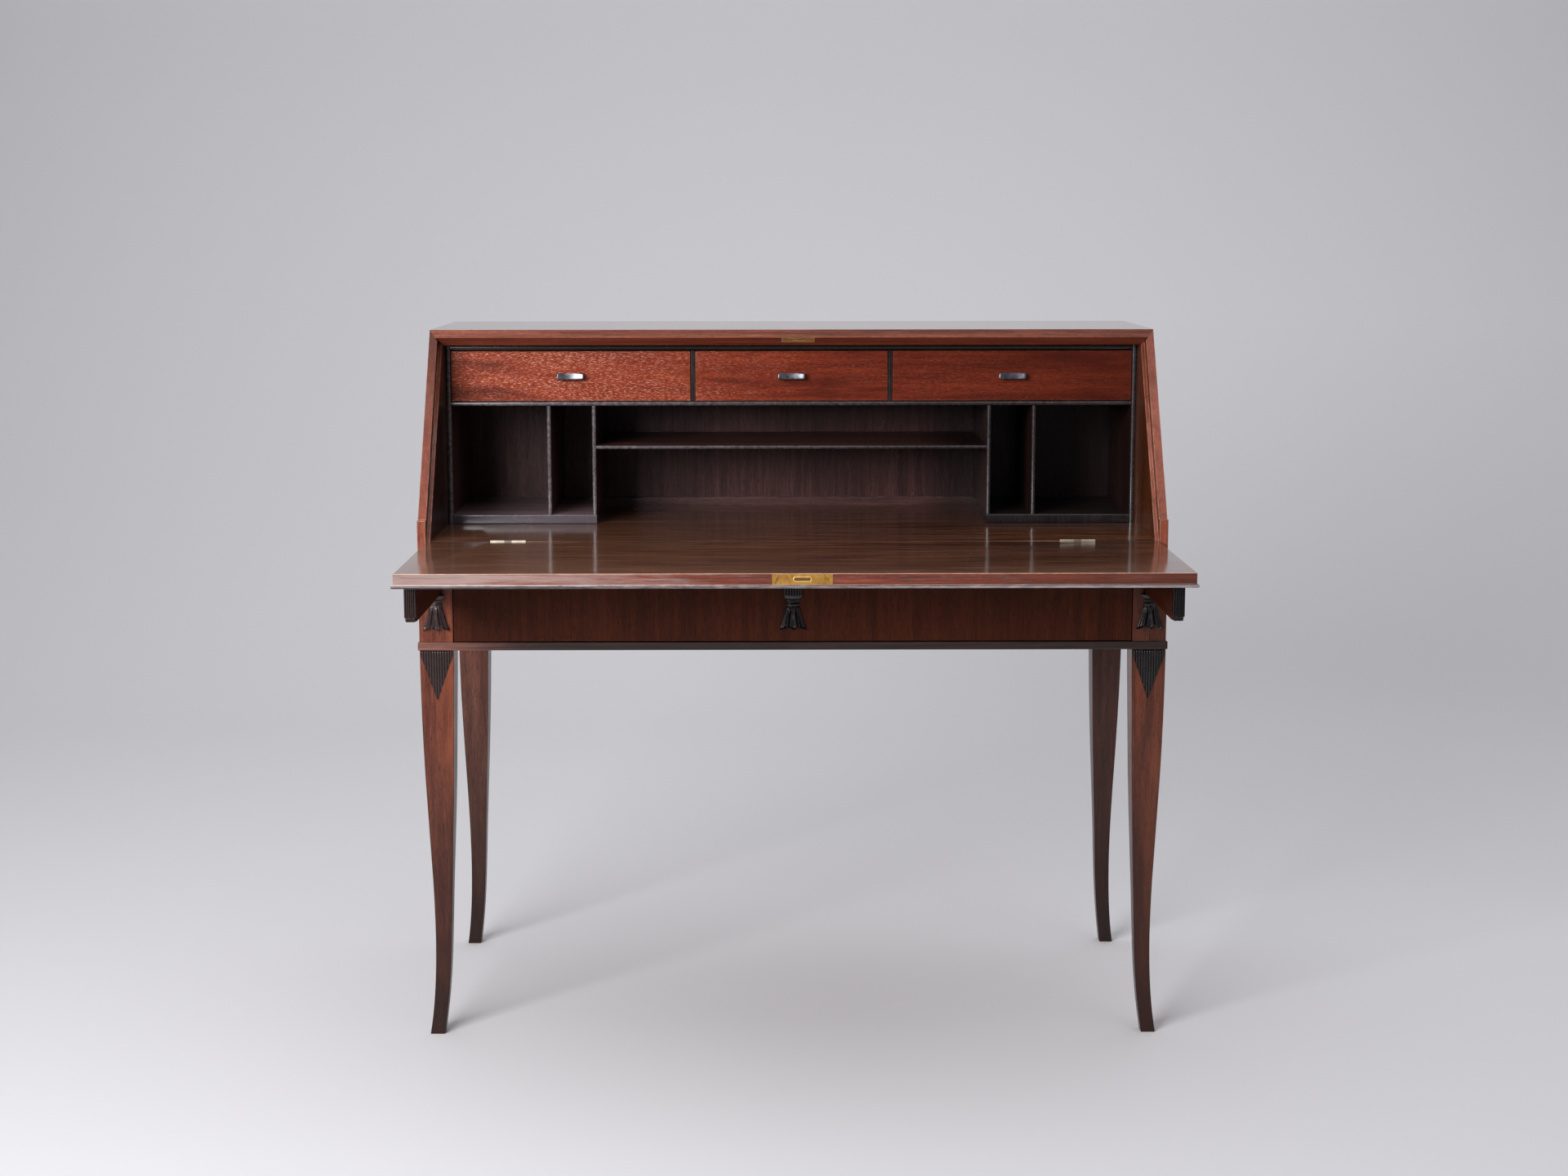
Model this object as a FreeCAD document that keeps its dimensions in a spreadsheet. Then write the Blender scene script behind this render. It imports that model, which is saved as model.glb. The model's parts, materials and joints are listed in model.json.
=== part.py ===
import FreeCAD, Part
import math
import os
import Sketcher
from FreeCAD import Placement, Rotation, Vector

# Slant-front writing desk on four sabre legs. Millimetres, X to the right, Y to the back, Z up.
# It stands with its fall open, and the origin is on the floor under the middle of its rest box.

SIZES = {
    # case, its height counted from the writing surface, and that from the tops of the legs
    "case_width": 1100.0,
    "case_depth": 500.0,
    "case_height": 302.0,
    "writing_height": 160.0,
    "side_thick": 18.0,
    "side_strip": 12.4,
    "top_thick": 24.0,
    "top_strip": 14.0,
    "back_thick": 12.0,
    "back_inset": 8.0,
    "ledge_rise": 32.0,
    # legs and the frieze frame between them
    "leg_height": 588.0,
    "post_size": 50.0,
    "foot_size": 21.5,
    "leg_bow": 12.4,
    "moulding_height": 12.0,
    "moulding_proud": 2.2,
    "moulding_round": 1.3,
    "frieze_side_thick": 14.0,
    "runner_width": 40.0,
    "reed_width": 46.0,
    "reed_height": 73.5,
    "reed_shoulder": 8.5,
    "reed_set": 2.4,
    "reed_proud": 0.6,
    # fall
    "fall_thick": 20.0,
    "fall_gap": 0.6,
    "hinge_setback": 8.0,
    "slope_angle": 57.5,
    "lip_thick": 4.6,
    "lip_proud": 3.0,
    "lip_gap": 0.4,
    "lip_start": 38.0,
    # hinges, placed in from the sides of the case
    "hinge_place": 132.0,
    "hinge_length": 52.0,
    "leaf_height": 16.0,
    "leaf_thick": 1.4,
    "knuckle_radius": 2.3,
    "knuckle_gap": 0.3,
    "pin_radius": 1.1,
    "pin_play": 0.04,
    # fall lock
    "lock_place": 9.5,
    "lock_plate_length": 81.0,
    "lock_plate_height": 14.2,
    "lock_plate_thick": 1.5,
    "lock_case_length": 56.0,
    "lock_case_depth": 36.0,
    "lock_case_height": 11.0,
    "bolt_width": 20.0,
    "bolt_thick": 3.0,
    "bolt_length": 26.0,
    "bolt_throw": 8.0,
    "bolt_sink": 0.5,
    "bolt_play": 0.3,
    "strike_length": 50.5,
    "strike_height": 14.4,
    "strike_thick": 1.5,
    "screw_radius": 1.8,
    "screw_length": 12.0,
    "screw_play": 0.05,
    "screw_edge": 6.5,
    "keyhole_place": 20.0,
    "keyhole_radius": 2.4,
    "keyhole_slot": 2.6,
    "keyhole_drop": 6.0,
    "escutcheon_radius": 8.5,
    "escutcheon_thick": 3.0,
    # lopers that carry the open fall
    "loper_width": 16.5,
    "loper_height": 56.0,
    "loper_length": 440.0,
    "loper_reach": 258.0,
    "loper_gap": 0.3,
    "loper_play": 0.25,
    "loper_cap": 10.0,
    "cap_foot_height": 6.0,
    "cap_foot_inset": 2.0,
    "guide_floor": 18.0,
    "peg_radius": 4.0,
    "peg_reach": 6.0,
    "peg_play": 0.5,
    # frieze drawer
    "frieze_gap": 1.2,
    "frieze_front_thick": 20.0,
    "frieze_wall": 12.0,
    "frieze_bottom": 6.0,
    "frieze_box_height": 100.0,
    "frieze_back_gap": 20.0,
    "frieze_box_play": 1.5,
    # carved bells
    "bell_width": 40.0,
    "bell_height": 52.0,
    "bell_depth": 9.0,
    "bell_lift": 18.5,
    "capital_width": 28.0,
    "capital_height": 50.0,
    # pigeonholes, their partitions placed in from the sides of the case
    "unit_setback": 225.0,
    "unit_side_thick": 7.0,
    "unit_top_thick": 10.0,
    "drawer_shelf_thick": 7.0,
    "base_thick": 14.0,
    "partition_thick": 6.0,
    "partition_outer": 175.0,
    "partition_inner": 244.5,
    "shelf_rise": 116.0,
    "shelf_thick": 5.5,
    "divider_place": 152.0,
    # small drawers
    "drawer_opening": 78.0,
    "drawer_gap": 0.8,
    "drawer_front_thick": 12.0,
    "drawer_wall": 6.0,
    "drawer_bottom": 4.0,
    "drawer_box_drop": 10.0,
    "drawer_box_play": 0.5,
    "drawer_back_gap": 8.0,
    "pull_width": 41.0,
    "pull_height": 10.0,
    "pull_thick": 7.0,
    "pull_stem_width": 14.0,
    "pull_stem_height": 6.0,
    "pull_stem_length": 7.0,
    # how far a cutting shape runs past what it cuts
    "overrun": 1.0,
}

# Sabre leg from foot to apron: height, inward bow of the outer faces, and width from foot to post.
LEG_HEIGHT_SHARES = (0.0, 0.085, 0.204, 0.357, 0.544, 0.765, 0.9, 1.0)
LEG_BOW_SHARES = (0.24, 0.73, 1.0, 0.94, 0.57, 0.16, 0.04, 0.0)
LEG_TAPER_SHARES = (0.0, 0.0, 0.06, 0.2, 0.52, 0.84, 0.95, 1.0)

# Carved bell from its rim up to its collar: height, width, width of the front facet, and relief.
BELL_HEIGHT_SHARES = (0.0, 0.16, 0.48, 0.74, 0.82, 1.0)
BELL_WIDTH_SHARES = (1.0, 0.74, 0.54, 0.43, 0.45, 0.68)
BELL_FRONT_SHARE = 0.6
BELL_DEPTH_SHARES = (1.0, 0.95, 0.8, 0.65, 0.65, 0.85)

KNUCKLES = 5

doc = FreeCAD.newDocument("escritoire")
sheet = doc.addObject("Spreadsheet::Sheet", "Sizes")
for row, (alias, number) in enumerate(SIZES.items(), start=1):
    sheet.set(f"A{row}", alias)
    sheet.set(f"B{row}", str(number))
    sheet.setAlias(f"B{row}", alias)
doc.recompute()


class Size:
    """A length that carries its present value and the expression that drives it."""

    def __init__(self, value, text):
        self.value = value
        self.text = text

    def __add__(self, other):
        other = size(other)
        return Size(self.value + other.value, f"({self.text} + {other.text})")

    def __sub__(self, other):
        other = size(other)
        return Size(self.value - other.value, f"({self.text} - {other.text})")

    def __mul__(self, other):
        other = size(other)
        return Size(self.value * other.value, f"({self.text} * {other.text})")

    def __truediv__(self, other):
        other = size(other)
        return Size(self.value / other.value, f"({self.text} / {other.text})")

    def __neg__(self):
        return size(0) - self


def size(thing):
    return thing if isinstance(thing, Size) else Size(float(thing), str(thing))


def sine(angle):
    return Size(math.sin(math.radians(angle.value)), f"sin({angle.text})")


def cosine(angle):
    return Size(math.cos(math.radians(angle.value)), f"cos({angle.text})")


class Named:
    """The sheet's cells by name."""

    def __getattr__(self, alias):
        return Size(float(sheet.get(alias)), f"Sizes.{alias}")


s = Named()


# Lengths that follow from the sizes, kept by name in a sheet of their own.
places = doc.addObject("Spreadsheet::Sheet", "Places")
kept = []


def keep(alias, length):
    kept.append(alias)
    places.set(f"A{len(kept)}", alias)
    places.set(f"B{len(kept)}", f"={length.text}")
    places.setAlias(f"B{len(kept)}", alias)
    return Size(length.value, f"Places.{alias}")


zero = size(0)
half = keep("half", s.case_width / 2)
post_in = keep("post_in", half - s.post_size)
post_mid = keep("post_mid", half - s.post_size / 2)
side_in = keep("side_in", half - s.side_thick)
frieze_in = keep("frieze_in", half - s.frieze_side_thick)

# Heights, each tier counted from the one that it stands on.
frieze_z = keep("frieze_z", s.leg_height + s.moulding_height)
writing_z = keep("writing_z", s.leg_height + s.writing_height)
bed_z = keep("bed_z", writing_z - s.fall_thick)
case_z = keep("case_z", writing_z + s.case_height)
top_z = keep("top_z", case_z - s.top_thick)
drawers_top = keep("drawers_top", top_z - s.unit_top_thick)
drawers_floor = keep("drawers_floor", drawers_top - s.drawer_opening)
holes_top = keep("holes_top", drawers_floor - s.drawer_shelf_thick)
holes_floor = keep("holes_floor", writing_z + s.base_thick)

# The closed fall lies on a plane through the hinge axis: u runs up it, n stands out from it.
slope_sin = keep("slope_sin", sine(s.slope_angle))
slope_cos = keep("slope_cos", cosine(s.slope_angle))
rabbet = keep("rabbet", s.fall_thick - s.lip_thick)
edge_n = keep("edge_n", rabbet - s.lip_gap)
slope_length = (s.case_height - edge_n * slope_cos) / slope_sin
shoulder_u = keep("shoulder_u", slope_length - s.top_strip)
fall_length = keep("fall_length", shoulder_u - s.fall_gap)
fall_half = keep("fall_half", half - s.side_strip - s.fall_gap)
fall_reach = keep("fall_reach", fall_length + s.lip_proud - s.hinge_setback)
hinge_mid = keep("hinge_mid", half - s.hinge_place)

# Depths, counted from the front face of the posts.
front = keep("front", (fall_reach - s.case_depth) / 2)
hinge_y = keep("hinge_y", front + s.hinge_setback)
fall_front = keep("fall_front", hinge_y - fall_length)
post_back = keep("post_back", front + s.post_size)
rear = keep("rear", front + s.case_depth)
rear_post = keep("rear_post", rear - s.post_size)
panel_rear = keep("panel_rear", rear - s.back_inset)
panel_front = keep("panel_front", panel_rear - s.back_thick)
unit_front = keep("unit_front", front + s.unit_setback)

# Pigeonholes.
unit_in = keep("unit_in", side_in - s.unit_side_thick)
half_partition = keep("half_partition", s.partition_thick / 2)
partition_outer = keep("partition_outer", half - s.partition_outer)
partition_inner = keep("partition_inner", half - s.partition_inner)

# Lopers, each in a slot through the middle of its post.
loper_top = keep("loper_top", bed_z - s.loper_gap)
loper_low = keep("loper_low", loper_top - s.loper_height)
slot_floor = keep("slot_floor", loper_low - s.loper_play)
slot_half = keep("slot_half", s.loper_width / 2 + s.loper_play)
loper_front = keep("loper_front", front - s.loper_reach)
loper_travel = keep("loper_travel", s.loper_reach - s.loper_cap)
peg_y = keep("peg_y", post_back + s.peg_radius + s.peg_play)
peg_z = keep("peg_z", loper_low + s.loper_height / 2)

# Lock, in the middle of the fall's front edge above the lip.
lock_z = keep("lock_z", writing_z - rabbet / 2)
slot_width = keep("slot_width", s.bolt_width / 2 + s.bolt_play)
slot_thick = keep("slot_thick", s.bolt_thick / 2 + s.bolt_play)
strike_n = keep("strike_n", rabbet / 2)
doc.recompute()


def bind(thing, prop, length):
    thing.setExpression(prop, size(length).text)


def block(name, x, y, z):
    """A box between two places along each axis."""
    box = doc.addObject("Part::Box", name)
    for axis, prop, (low, high) in zip("xyz", ("Length", "Width", "Height"), (x, y, z)):
        bind(box, prop, size(high) - low)
        bind(box, f"Placement.Base.{axis}", low)
    return box


def slope_place(thing, x, u, n):
    """Put a shape's corner on the closed fall's plane."""
    bind(thing, "Placement.Base.x", x)
    bind(thing, "Placement.Base.y", hinge_y + u * slope_cos - n * slope_sin)
    bind(thing, "Placement.Base.z", writing_z + u * slope_sin + n * slope_cos)


def slope_block(name, x, u, n):
    """A box that lies square to the closed fall."""
    box = doc.addObject("Part::Box", name)
    for prop, (low, high) in zip(("Length", "Width", "Height"), (x, u, n)):
        bind(box, prop, size(high) - low)
    box.Placement = Placement(Vector(), Rotation(Vector(1, 0, 0), s.slope_angle.value))
    bind(box, "Placement.Rotation.Angle", s.slope_angle)
    slope_place(box, x[0], u[0], n[0])
    return box


TURNS = {"x": Rotation(Vector(0, 1, 0), 90), "y": Rotation(Vector(1, 0, 0), -90), "z": Rotation()}


def rod(name, axis, start, length, radius):
    """A cylinder from a start point along one axis."""
    bar = doc.addObject("Part::Cylinder", name)
    bind(bar, "Radius", radius)
    bind(bar, "Height", length)
    bar.Placement = Placement(Vector(), TURNS[axis])
    for letter, place in zip("xyz", start):
        bind(bar, f"Placement.Base.{letter}", place)
    return bar


def fuse(name, *shapes):
    joined = doc.addObject("Part::MultiFuse", name)
    joined.Shapes = list(shapes)
    joined.Refine = True
    return joined


def cut(name, base, *tools):
    result = doc.addObject("Part::Cut", name)
    result.Base = base
    result.Tool = tools[0] if len(tools) == 1 else fuse(f"{name}_tools", *tools)
    return result


def group(name, *shapes):
    together = doc.addObject("Part::Compound", name)
    together.Links = list(shapes)
    return together


def mirrored(name, source):
    """The same piece on the other side of the desk's middle plane."""
    other = doc.addObject("Part::Mirroring", name)
    other.Source = source
    other.Normal = Vector(1, 0, 0)
    return other


def new_body(name, x=0, y=0, z=0):
    body = doc.addObject("PartDesign::Body", name)
    for axis, place in zip("xyz", (x, y, z)):
        bind(body, f"Placement.Base.{axis}", place)
    return body


def outline(body, name, plane, points, lift=0):
    """A closed outline of straight sides, each corner tied to its two sizes."""
    sketch = body.newObject("Sketcher::SketchObject", name)
    support = [item for item in body.Origin.OriginFeatures if item.Role == plane]
    sketch.AttachmentSupport = [(support[0], "")]
    sketch.MapMode = "FlatFace"
    bind(sketch, "AttachmentOffset.Base.z", lift)
    corners = [(size(across), size(up)) for across, up in points]
    spots = [Vector(across.value, up.value, 0) for across, up in corners]
    for index, spot in enumerate(spots):
        sketch.addGeometry(Part.LineSegment(spot, spots[(index + 1) % len(spots)]))
    for index in range(len(spots)):
        sketch.addConstraint(Sketcher.Constraint("Coincident", index, 2, (index + 1) % len(spots), 1))
    for index, corner in enumerate(corners):
        for kind, line, place in zip(("DistanceX", "DistanceY"), (-2, -1), corner):
            if place.text == "0":
                sketch.addConstraint(Sketcher.Constraint("PointOnObject", index, 1, line))
            else:
                tie = Sketcher.Constraint(kind, -1, 1, index, 1, place.value)
                bind(sketch, f"Constraints[{sketch.addConstraint(tie)}]", place)
    return sketch


def pad(body, name, sketch, length, reverse=False):
    feature = body.newObject("PartDesign::Pad", name)
    feature.Profile = sketch
    bind(feature, "Length", length)
    feature.Reversed = reverse
    return feature


def loft(body, name, sections, ruled):
    feature = body.newObject("PartDesign::AdditiveLoft", name)
    feature.Profile = sections[0]
    feature.Sections = sections[1:]
    feature.Ruled = ruled
    return feature


def round_edges(body, name, feature, wanted, radius):
    """Round those edges of a feature whose middle passes the test."""
    doc.recompute()
    edges = feature.Shape.Edges
    names = [f"Edge{i}" for i, edge in enumerate(edges, start=1) if wanted(edge.CenterOfMass)]
    rounding = body.newObject("PartDesign::Fillet", name)
    rounding.Base = (feature, names)
    bind(rounding, "Radius", radius)
    return rounding


def square(low_x, low_y, width):
    return [(low_x, low_y), (low_x + width, low_y), (low_x + width, low_y + width), (low_x, low_y + width)]


nodes = []


def node(label, thing):
    thing.Label = label
    nodes.append(thing)
    return thing


def pair(label, left):
    """Keep a left-hand piece and its mirror image as two sub-parts."""
    node(f"{label}_left", left)
    node(f"{label}_right", mirrored(f"{label}_right_mirror", left))
    return left


def leg_body(name, at_back):
    """A sabre leg, square in section, with the post that stands on it."""
    body = new_body(name, x=-half, y=front)
    sections = []
    for height, bow, taper in zip(LEG_HEIGHT_SHARES, LEG_BOW_SHARES, LEG_TAPER_SHARES):
        inset = s.leg_bow * bow
        width = s.foot_size + (s.post_size - s.foot_size) * taper
        depth = s.case_depth - inset - width if at_back else inset
        corners = square(inset, depth, width)
        sections.append(outline(body, f"{name}_section", "XY_Plane", corners, s.leg_height * height))
    loft(body, f"{name}_sweep", sections, ruled=False)
    depth = s.case_depth - s.post_size if at_back else zero
    plan = outline(body, f"{name}_post_plan", "XY_Plane", square(zero, depth, s.post_size), s.leg_height)
    pad(body, f"{name}_post", plan, bed_z - s.leg_height)
    return body


def legs():
    low = zero
    corners = [
        (s.reed_width / 2, low),
        (s.reed_width, s.reed_height - s.reed_shoulder),
        (s.reed_width, s.reed_height),
        (zero, s.reed_height),
        (zero, s.reed_height - s.reed_shoulder),
    ]
    base_z = s.leg_height - s.reed_height
    reeds = new_body("reed_panel", x=-post_mid - s.reed_width / 2, y=front + s.reed_set, z=base_z)
    pad(reeds, "reed_pad", outline(reeds, "reed_outline", "XZ_Plane", corners), s.reed_set + s.reed_proud)
    slot = block(
        "loper_slot",
        (-post_mid - slot_half, -post_mid + slot_half),
        (front - s.overrun, post_back + s.overrun),
        (slot_floor, bed_z + s.overrun),
    )
    pair("leg_front", cut("front_leg_cut", leg_body("front_leg", at_back=False), slot, reeds))
    pair("leg_back", leg_body("back_leg", at_back=True))
    pair("leg_reeds", reeds)


def frieze_frame():
    sides = (post_back, rear_post)
    pair("frieze_side", block("frieze_side", (-half, -frieze_in), sides, (s.leg_height, bed_z)))
    across = (-post_in, post_in)
    node("frieze_back", block("frieze_back", across, (panel_front, panel_rear), (s.leg_height, bed_z)))
    low = (s.leg_height, frieze_z)
    node("bottom_rail_front", block("rail_front", across, (front, post_back), low))
    node("bottom_rail_back", block("rail_back", across, (rear_post, panel_front), low))
    runner = block("runner", (-frieze_in, -post_in + s.runner_width), sides, low)
    node("drawer_runners", group("runner_pair", runner, mirrored("runner_mirror", runner)))


def mouldings():
    """Flat bead with rounded edges, mitred at the front corners."""
    proud = s.moulding_proud
    plan = [(zero, zero), (s.case_width + proud * 2, zero), (s.case_width + proud, proud), (proud, proud)]
    bead = new_body("front_bead", x=-half - proud, y=front - proud, z=s.leg_height)
    feature = pad(bead, "front_bead_pad", outline(bead, "front_bead_plan", "XY_Plane", plan), s.moulding_height)
    limit = (proud / 4).value
    middle = (half + proud).value
    round_edges(
        bead,
        "front_bead_round",
        feature,
        lambda spot: spot.y < limit and abs(spot.x - middle) < limit,
        s.moulding_round,
    )
    node("moulding_front", bead)
    plan = [(zero, zero), (proud, proud), (proud, s.case_depth + proud), (zero, s.case_depth + proud)]
    bead = new_body("side_bead", x=-half - proud, y=front - proud, z=s.leg_height)
    feature = pad(bead, "side_bead_pad", outline(bead, "side_bead_plan", "XY_Plane", plan), s.moulding_height)
    middle = ((s.case_depth + proud) / 2).value
    round_edges(
        bead,
        "side_bead_round",
        feature,
        lambda spot: spot.x < limit and abs(spot.y - middle) < limit,
        s.moulding_round,
    )
    node("moulding_sides", group("side_bead_pair", bead, mirrored("side_bead_mirror", bead)))


def bell(name, middle, face_y):
    """Carved bell with its collar, flat on the face that it is planted on."""
    body = new_body(name, x=middle - s.bell_width / 2, y=face_y - s.bell_depth, z=frieze_z + s.bell_lift)
    sections = []
    for height, width, relief in zip(BELL_HEIGHT_SHARES, BELL_WIDTH_SHARES, BELL_DEPTH_SHARES):
        half_back = s.bell_width * width / 2
        half_front = half_back * BELL_FRONT_SHARE
        centre = s.bell_width / 2
        nose = s.bell_depth - s.bell_depth * relief
        corners = [
            (centre - half_front, nose),
            (centre + half_front, nose),
            (centre + half_back, s.bell_depth),
            (centre - half_back, s.bell_depth),
        ]
        sections.append(outline(body, f"{name}_section", "XY_Plane", corners, s.bell_height * height))
    loft(body, f"{name}_loft", sections, ruled=True)
    return body


def hinge_leaf(name, low_y, high_y, first, middle):
    """A leaf with every second knuckle of the barrel, starting from the given one."""
    start = middle - s.hinge_length / 2
    step = s.hinge_length / KNUCKLES
    solids = [
        block(
            f"{name}_plate",
            (start, start + s.hinge_length),
            (low_y, high_y),
            (writing_z - s.leaf_height, writing_z),
        )
    ]
    rooms = []
    for index in range(KNUCKLES):
        own = index % 2 == first
        trim = s.knuckle_gap / 2 if own else zero
        place = (start + step * index + trim, hinge_y, writing_z)
        radius = s.knuckle_radius if own else s.knuckle_radius + s.knuckle_gap
        barrel = rod(f"{name}_barrel", "x", place, step - trim * 2, radius)
        (solids if own else rooms).append(barrel)
    bore_start = (start - s.overrun, hinge_y, writing_z)
    bore = rod(f"{name}_bore", "x", bore_start, s.hinge_length + s.overrun * 2, s.pin_radius + s.pin_play)
    return cut(f"{name}_leaf", fuse(f"{name}_solid", *solids), bore, *rooms)


def hinge_room(name, low_y, high_y):
    """The recess that takes a leaf and its half of the barrel."""
    ends = (-hinge_mid - s.hinge_length / 2, -hinge_mid + s.hinge_length / 2)
    room = block(f"{name}_leaf_room", ends, (low_y, high_y), (writing_z - s.leaf_height, writing_z))
    start = (ends[0], hinge_y, writing_z)
    barrel = rod(f"{name}_barrel_room", "x", start, s.hinge_length, s.knuckle_radius + s.knuckle_gap)
    return [room, barrel, mirrored(f"{name}_room_mirror", room), mirrored(f"{name}_barrel_mirror", barrel)]


bed_front = hinge_y + s.fall_gap / 2
fall_back = hinge_y - s.fall_gap / 2
bed_leaf = (bed_front, bed_front + s.leaf_thick)
fall_leaf = (fall_back - s.leaf_thick, fall_back)


def hinges():
    for label, depths, first in (("bed", bed_leaf, 0), ("fall", fall_leaf, 1)):
        leaf = hinge_leaf(f"{label}_hinge", *depths, first, -hinge_mid)
        node(f"hinge_{label}_leaves", group(f"{label}_leaf_pair", leaf, mirrored(f"{label}_leaf_mirror", leaf)))
    start = (-hinge_mid - s.hinge_length / 2, hinge_y, writing_z)
    pin = rod("hinge_pin", "x", start, s.hinge_length, s.pin_radius)
    node("hinge_pins", group("hinge_pin_pair", pin, mirrored("hinge_pin_mirror", pin)))


def wedge(name, corners):
    """A prism that runs the whole depth of the case, for the mitred corners."""
    body = new_body(name, x=-half, y=rear + s.overrun)
    pad(body, f"{name}_pad", outline(body, f"{name}_plan", "XZ_Plane", corners), s.case_depth + s.overrun * 2)
    return body


def edge_y(n, height):
    """Depth, from the posts' front face, of a plane parallel to the closed fall."""
    return s.hinge_setback + ((height - writing_z) * slope_cos - n) / slope_sin


def upper_case():
    bed = block("bed_board", (-side_in, side_in), (bed_front, panel_rear), (bed_z, writing_z))
    node("writing_bed", cut("bed_cut", bed, *hinge_room("bed", *bed_leaf)))

    ledge_z = writing_z + s.ledge_rise
    outer = [
        (zero, bed_z),
        (s.case_depth, bed_z),
        (s.case_depth, case_z),
        (edge_y(edge_n, case_z), case_z),
        (edge_y(edge_n, ledge_z), ledge_z),
        (zero, ledge_z),
    ]
    inner = [
        (edge_y(-s.fall_gap, writing_z), bed_z),
        (s.case_depth, bed_z),
        (s.case_depth, case_z),
        (edge_y(-s.fall_gap, case_z), case_z),
        (edge_y(-s.fall_gap, writing_z), writing_z),
    ]
    side = new_body("side_board", x=-half, y=front)
    pad(side, "side_outer", outline(side, "side_outer_plan", "YZ_Plane", outer), s.side_strip)
    plan = outline(side, "side_inner_plan", "YZ_Plane", inner, s.side_strip)
    pad(side, "side_inner", plan, s.side_thick - s.side_strip)
    over = [(zero, case_z), (s.side_thick, case_z), (s.side_thick, top_z)]
    under = [(zero, case_z), (zero, top_z), (s.side_thick, top_z)]
    pair("case_side", cut("side_cut", side, wedge("side_mitre", over)))

    shoulder_z = writing_z + shoulder_u * slope_sin + edge_n * slope_cos
    under_n = (top_z - writing_z - shoulder_u * slope_sin) / slope_cos
    profile = [
        (edge_y(edge_n, case_z), case_z),
        (edge_y(edge_n, shoulder_z), shoulder_z),
        (s.hinge_setback + shoulder_u * slope_cos - under_n * slope_sin, top_z),
        (s.case_depth, top_z),
        (s.case_depth, case_z),
    ]
    board = new_body("top_board", x=-half, y=front)
    pad(board, "top_pad", outline(board, "top_profile", "YZ_Plane", profile), s.case_width)
    mitre = wedge("top_mitre", under)
    room = strike_block("strike_room", s.strike_length / 2, zero, s.strike_thick, s.strike_height / 2)
    throat = strike_block("bolt_throat", slot_width, zero, s.strike_thick + s.bolt_throw + s.bolt_play, slot_thick)
    holes = strike_rods("strike_hole", s.screw_radius + s.screw_play, s.screw_length + s.screw_play)
    tools = [mitre, mirrored("top_mitre_mirror", mitre), room, throat]
    node("case_top", cut("top_cut", board, *tools, *holes))
    across = (-side_in, side_in)
    node("case_back", block("back_panel", across, (panel_front, panel_rear), (writing_z, top_z)))


def strike_block(name, half_length, low, high, half_height):
    """A box let into the shoulder that meets the closed fall's front edge."""
    return slope_block(
        name,
        (s.lock_place - half_length, s.lock_place + half_length),
        (shoulder_u + low, shoulder_u + high),
        (strike_n - half_height, strike_n + half_height),
    )


def strike_rods(name, radius, length):
    reach = s.strike_length / 2 - s.screw_edge
    rods = []
    for place in (s.lock_place - reach, s.lock_place + reach):
        bar = doc.addObject("Part::Cylinder", name)
        bind(bar, "Radius", radius)
        bind(bar, "Height", length)
        lean = size(90) - s.slope_angle
        bar.Placement = Placement(Vector(), Rotation(Vector(-1, 0, 0), lean.value))
        bind(bar, "Placement.Rotation.Angle", lean)
        slope_place(bar, place, shoulder_u, strike_n)
        rods.append(bar)
    return rods


def strike():
    plate = strike_block("strike_board", s.strike_length / 2, zero, s.strike_thick, s.strike_height / 2)
    mouth = strike_block("strike_mouth", slot_width, -s.overrun, s.strike_thick + s.overrun, slot_thick)
    holes = strike_rods("strike_plate_hole", s.screw_radius + s.screw_play, s.screw_length)
    node("strike_plate", cut("strike_cut", plate, mouth, *holes))
    node("strike_screws", group("strike_screw_pair", *strike_rods("strike_screw", s.screw_radius, s.screw_length)))


def lock_block(name, half_length, low, high, half_height):
    """A box let into the fall's front edge."""
    return block(
        name,
        (s.lock_place - half_length, s.lock_place + half_length),
        (fall_front + low, fall_front + high),
        (lock_z - half_height, lock_z + half_height),
    )


def lock_rods(name, radius, length):
    reach = s.lock_plate_length / 2 - s.screw_edge
    places = (s.lock_place - reach, s.lock_place + reach)
    return [rod(name, "y", (place, fall_front, lock_z), length, radius) for place in places]


def keyhole(name, top):
    """Round eye and slot, from the fall's outer face inwards."""
    y = fall_front + s.keyhole_place
    eye = rod(f"{name}_eye", "z", (zero, y, bed_z - s.overrun), top - bed_z + s.overrun, s.keyhole_radius)
    slot = block(
        f"{name}_slot",
        (-s.keyhole_slot / 2, s.keyhole_slot / 2),
        (y, y + s.keyhole_drop),
        (bed_z - s.overrun, top),
    )
    return [eye, slot]


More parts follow.
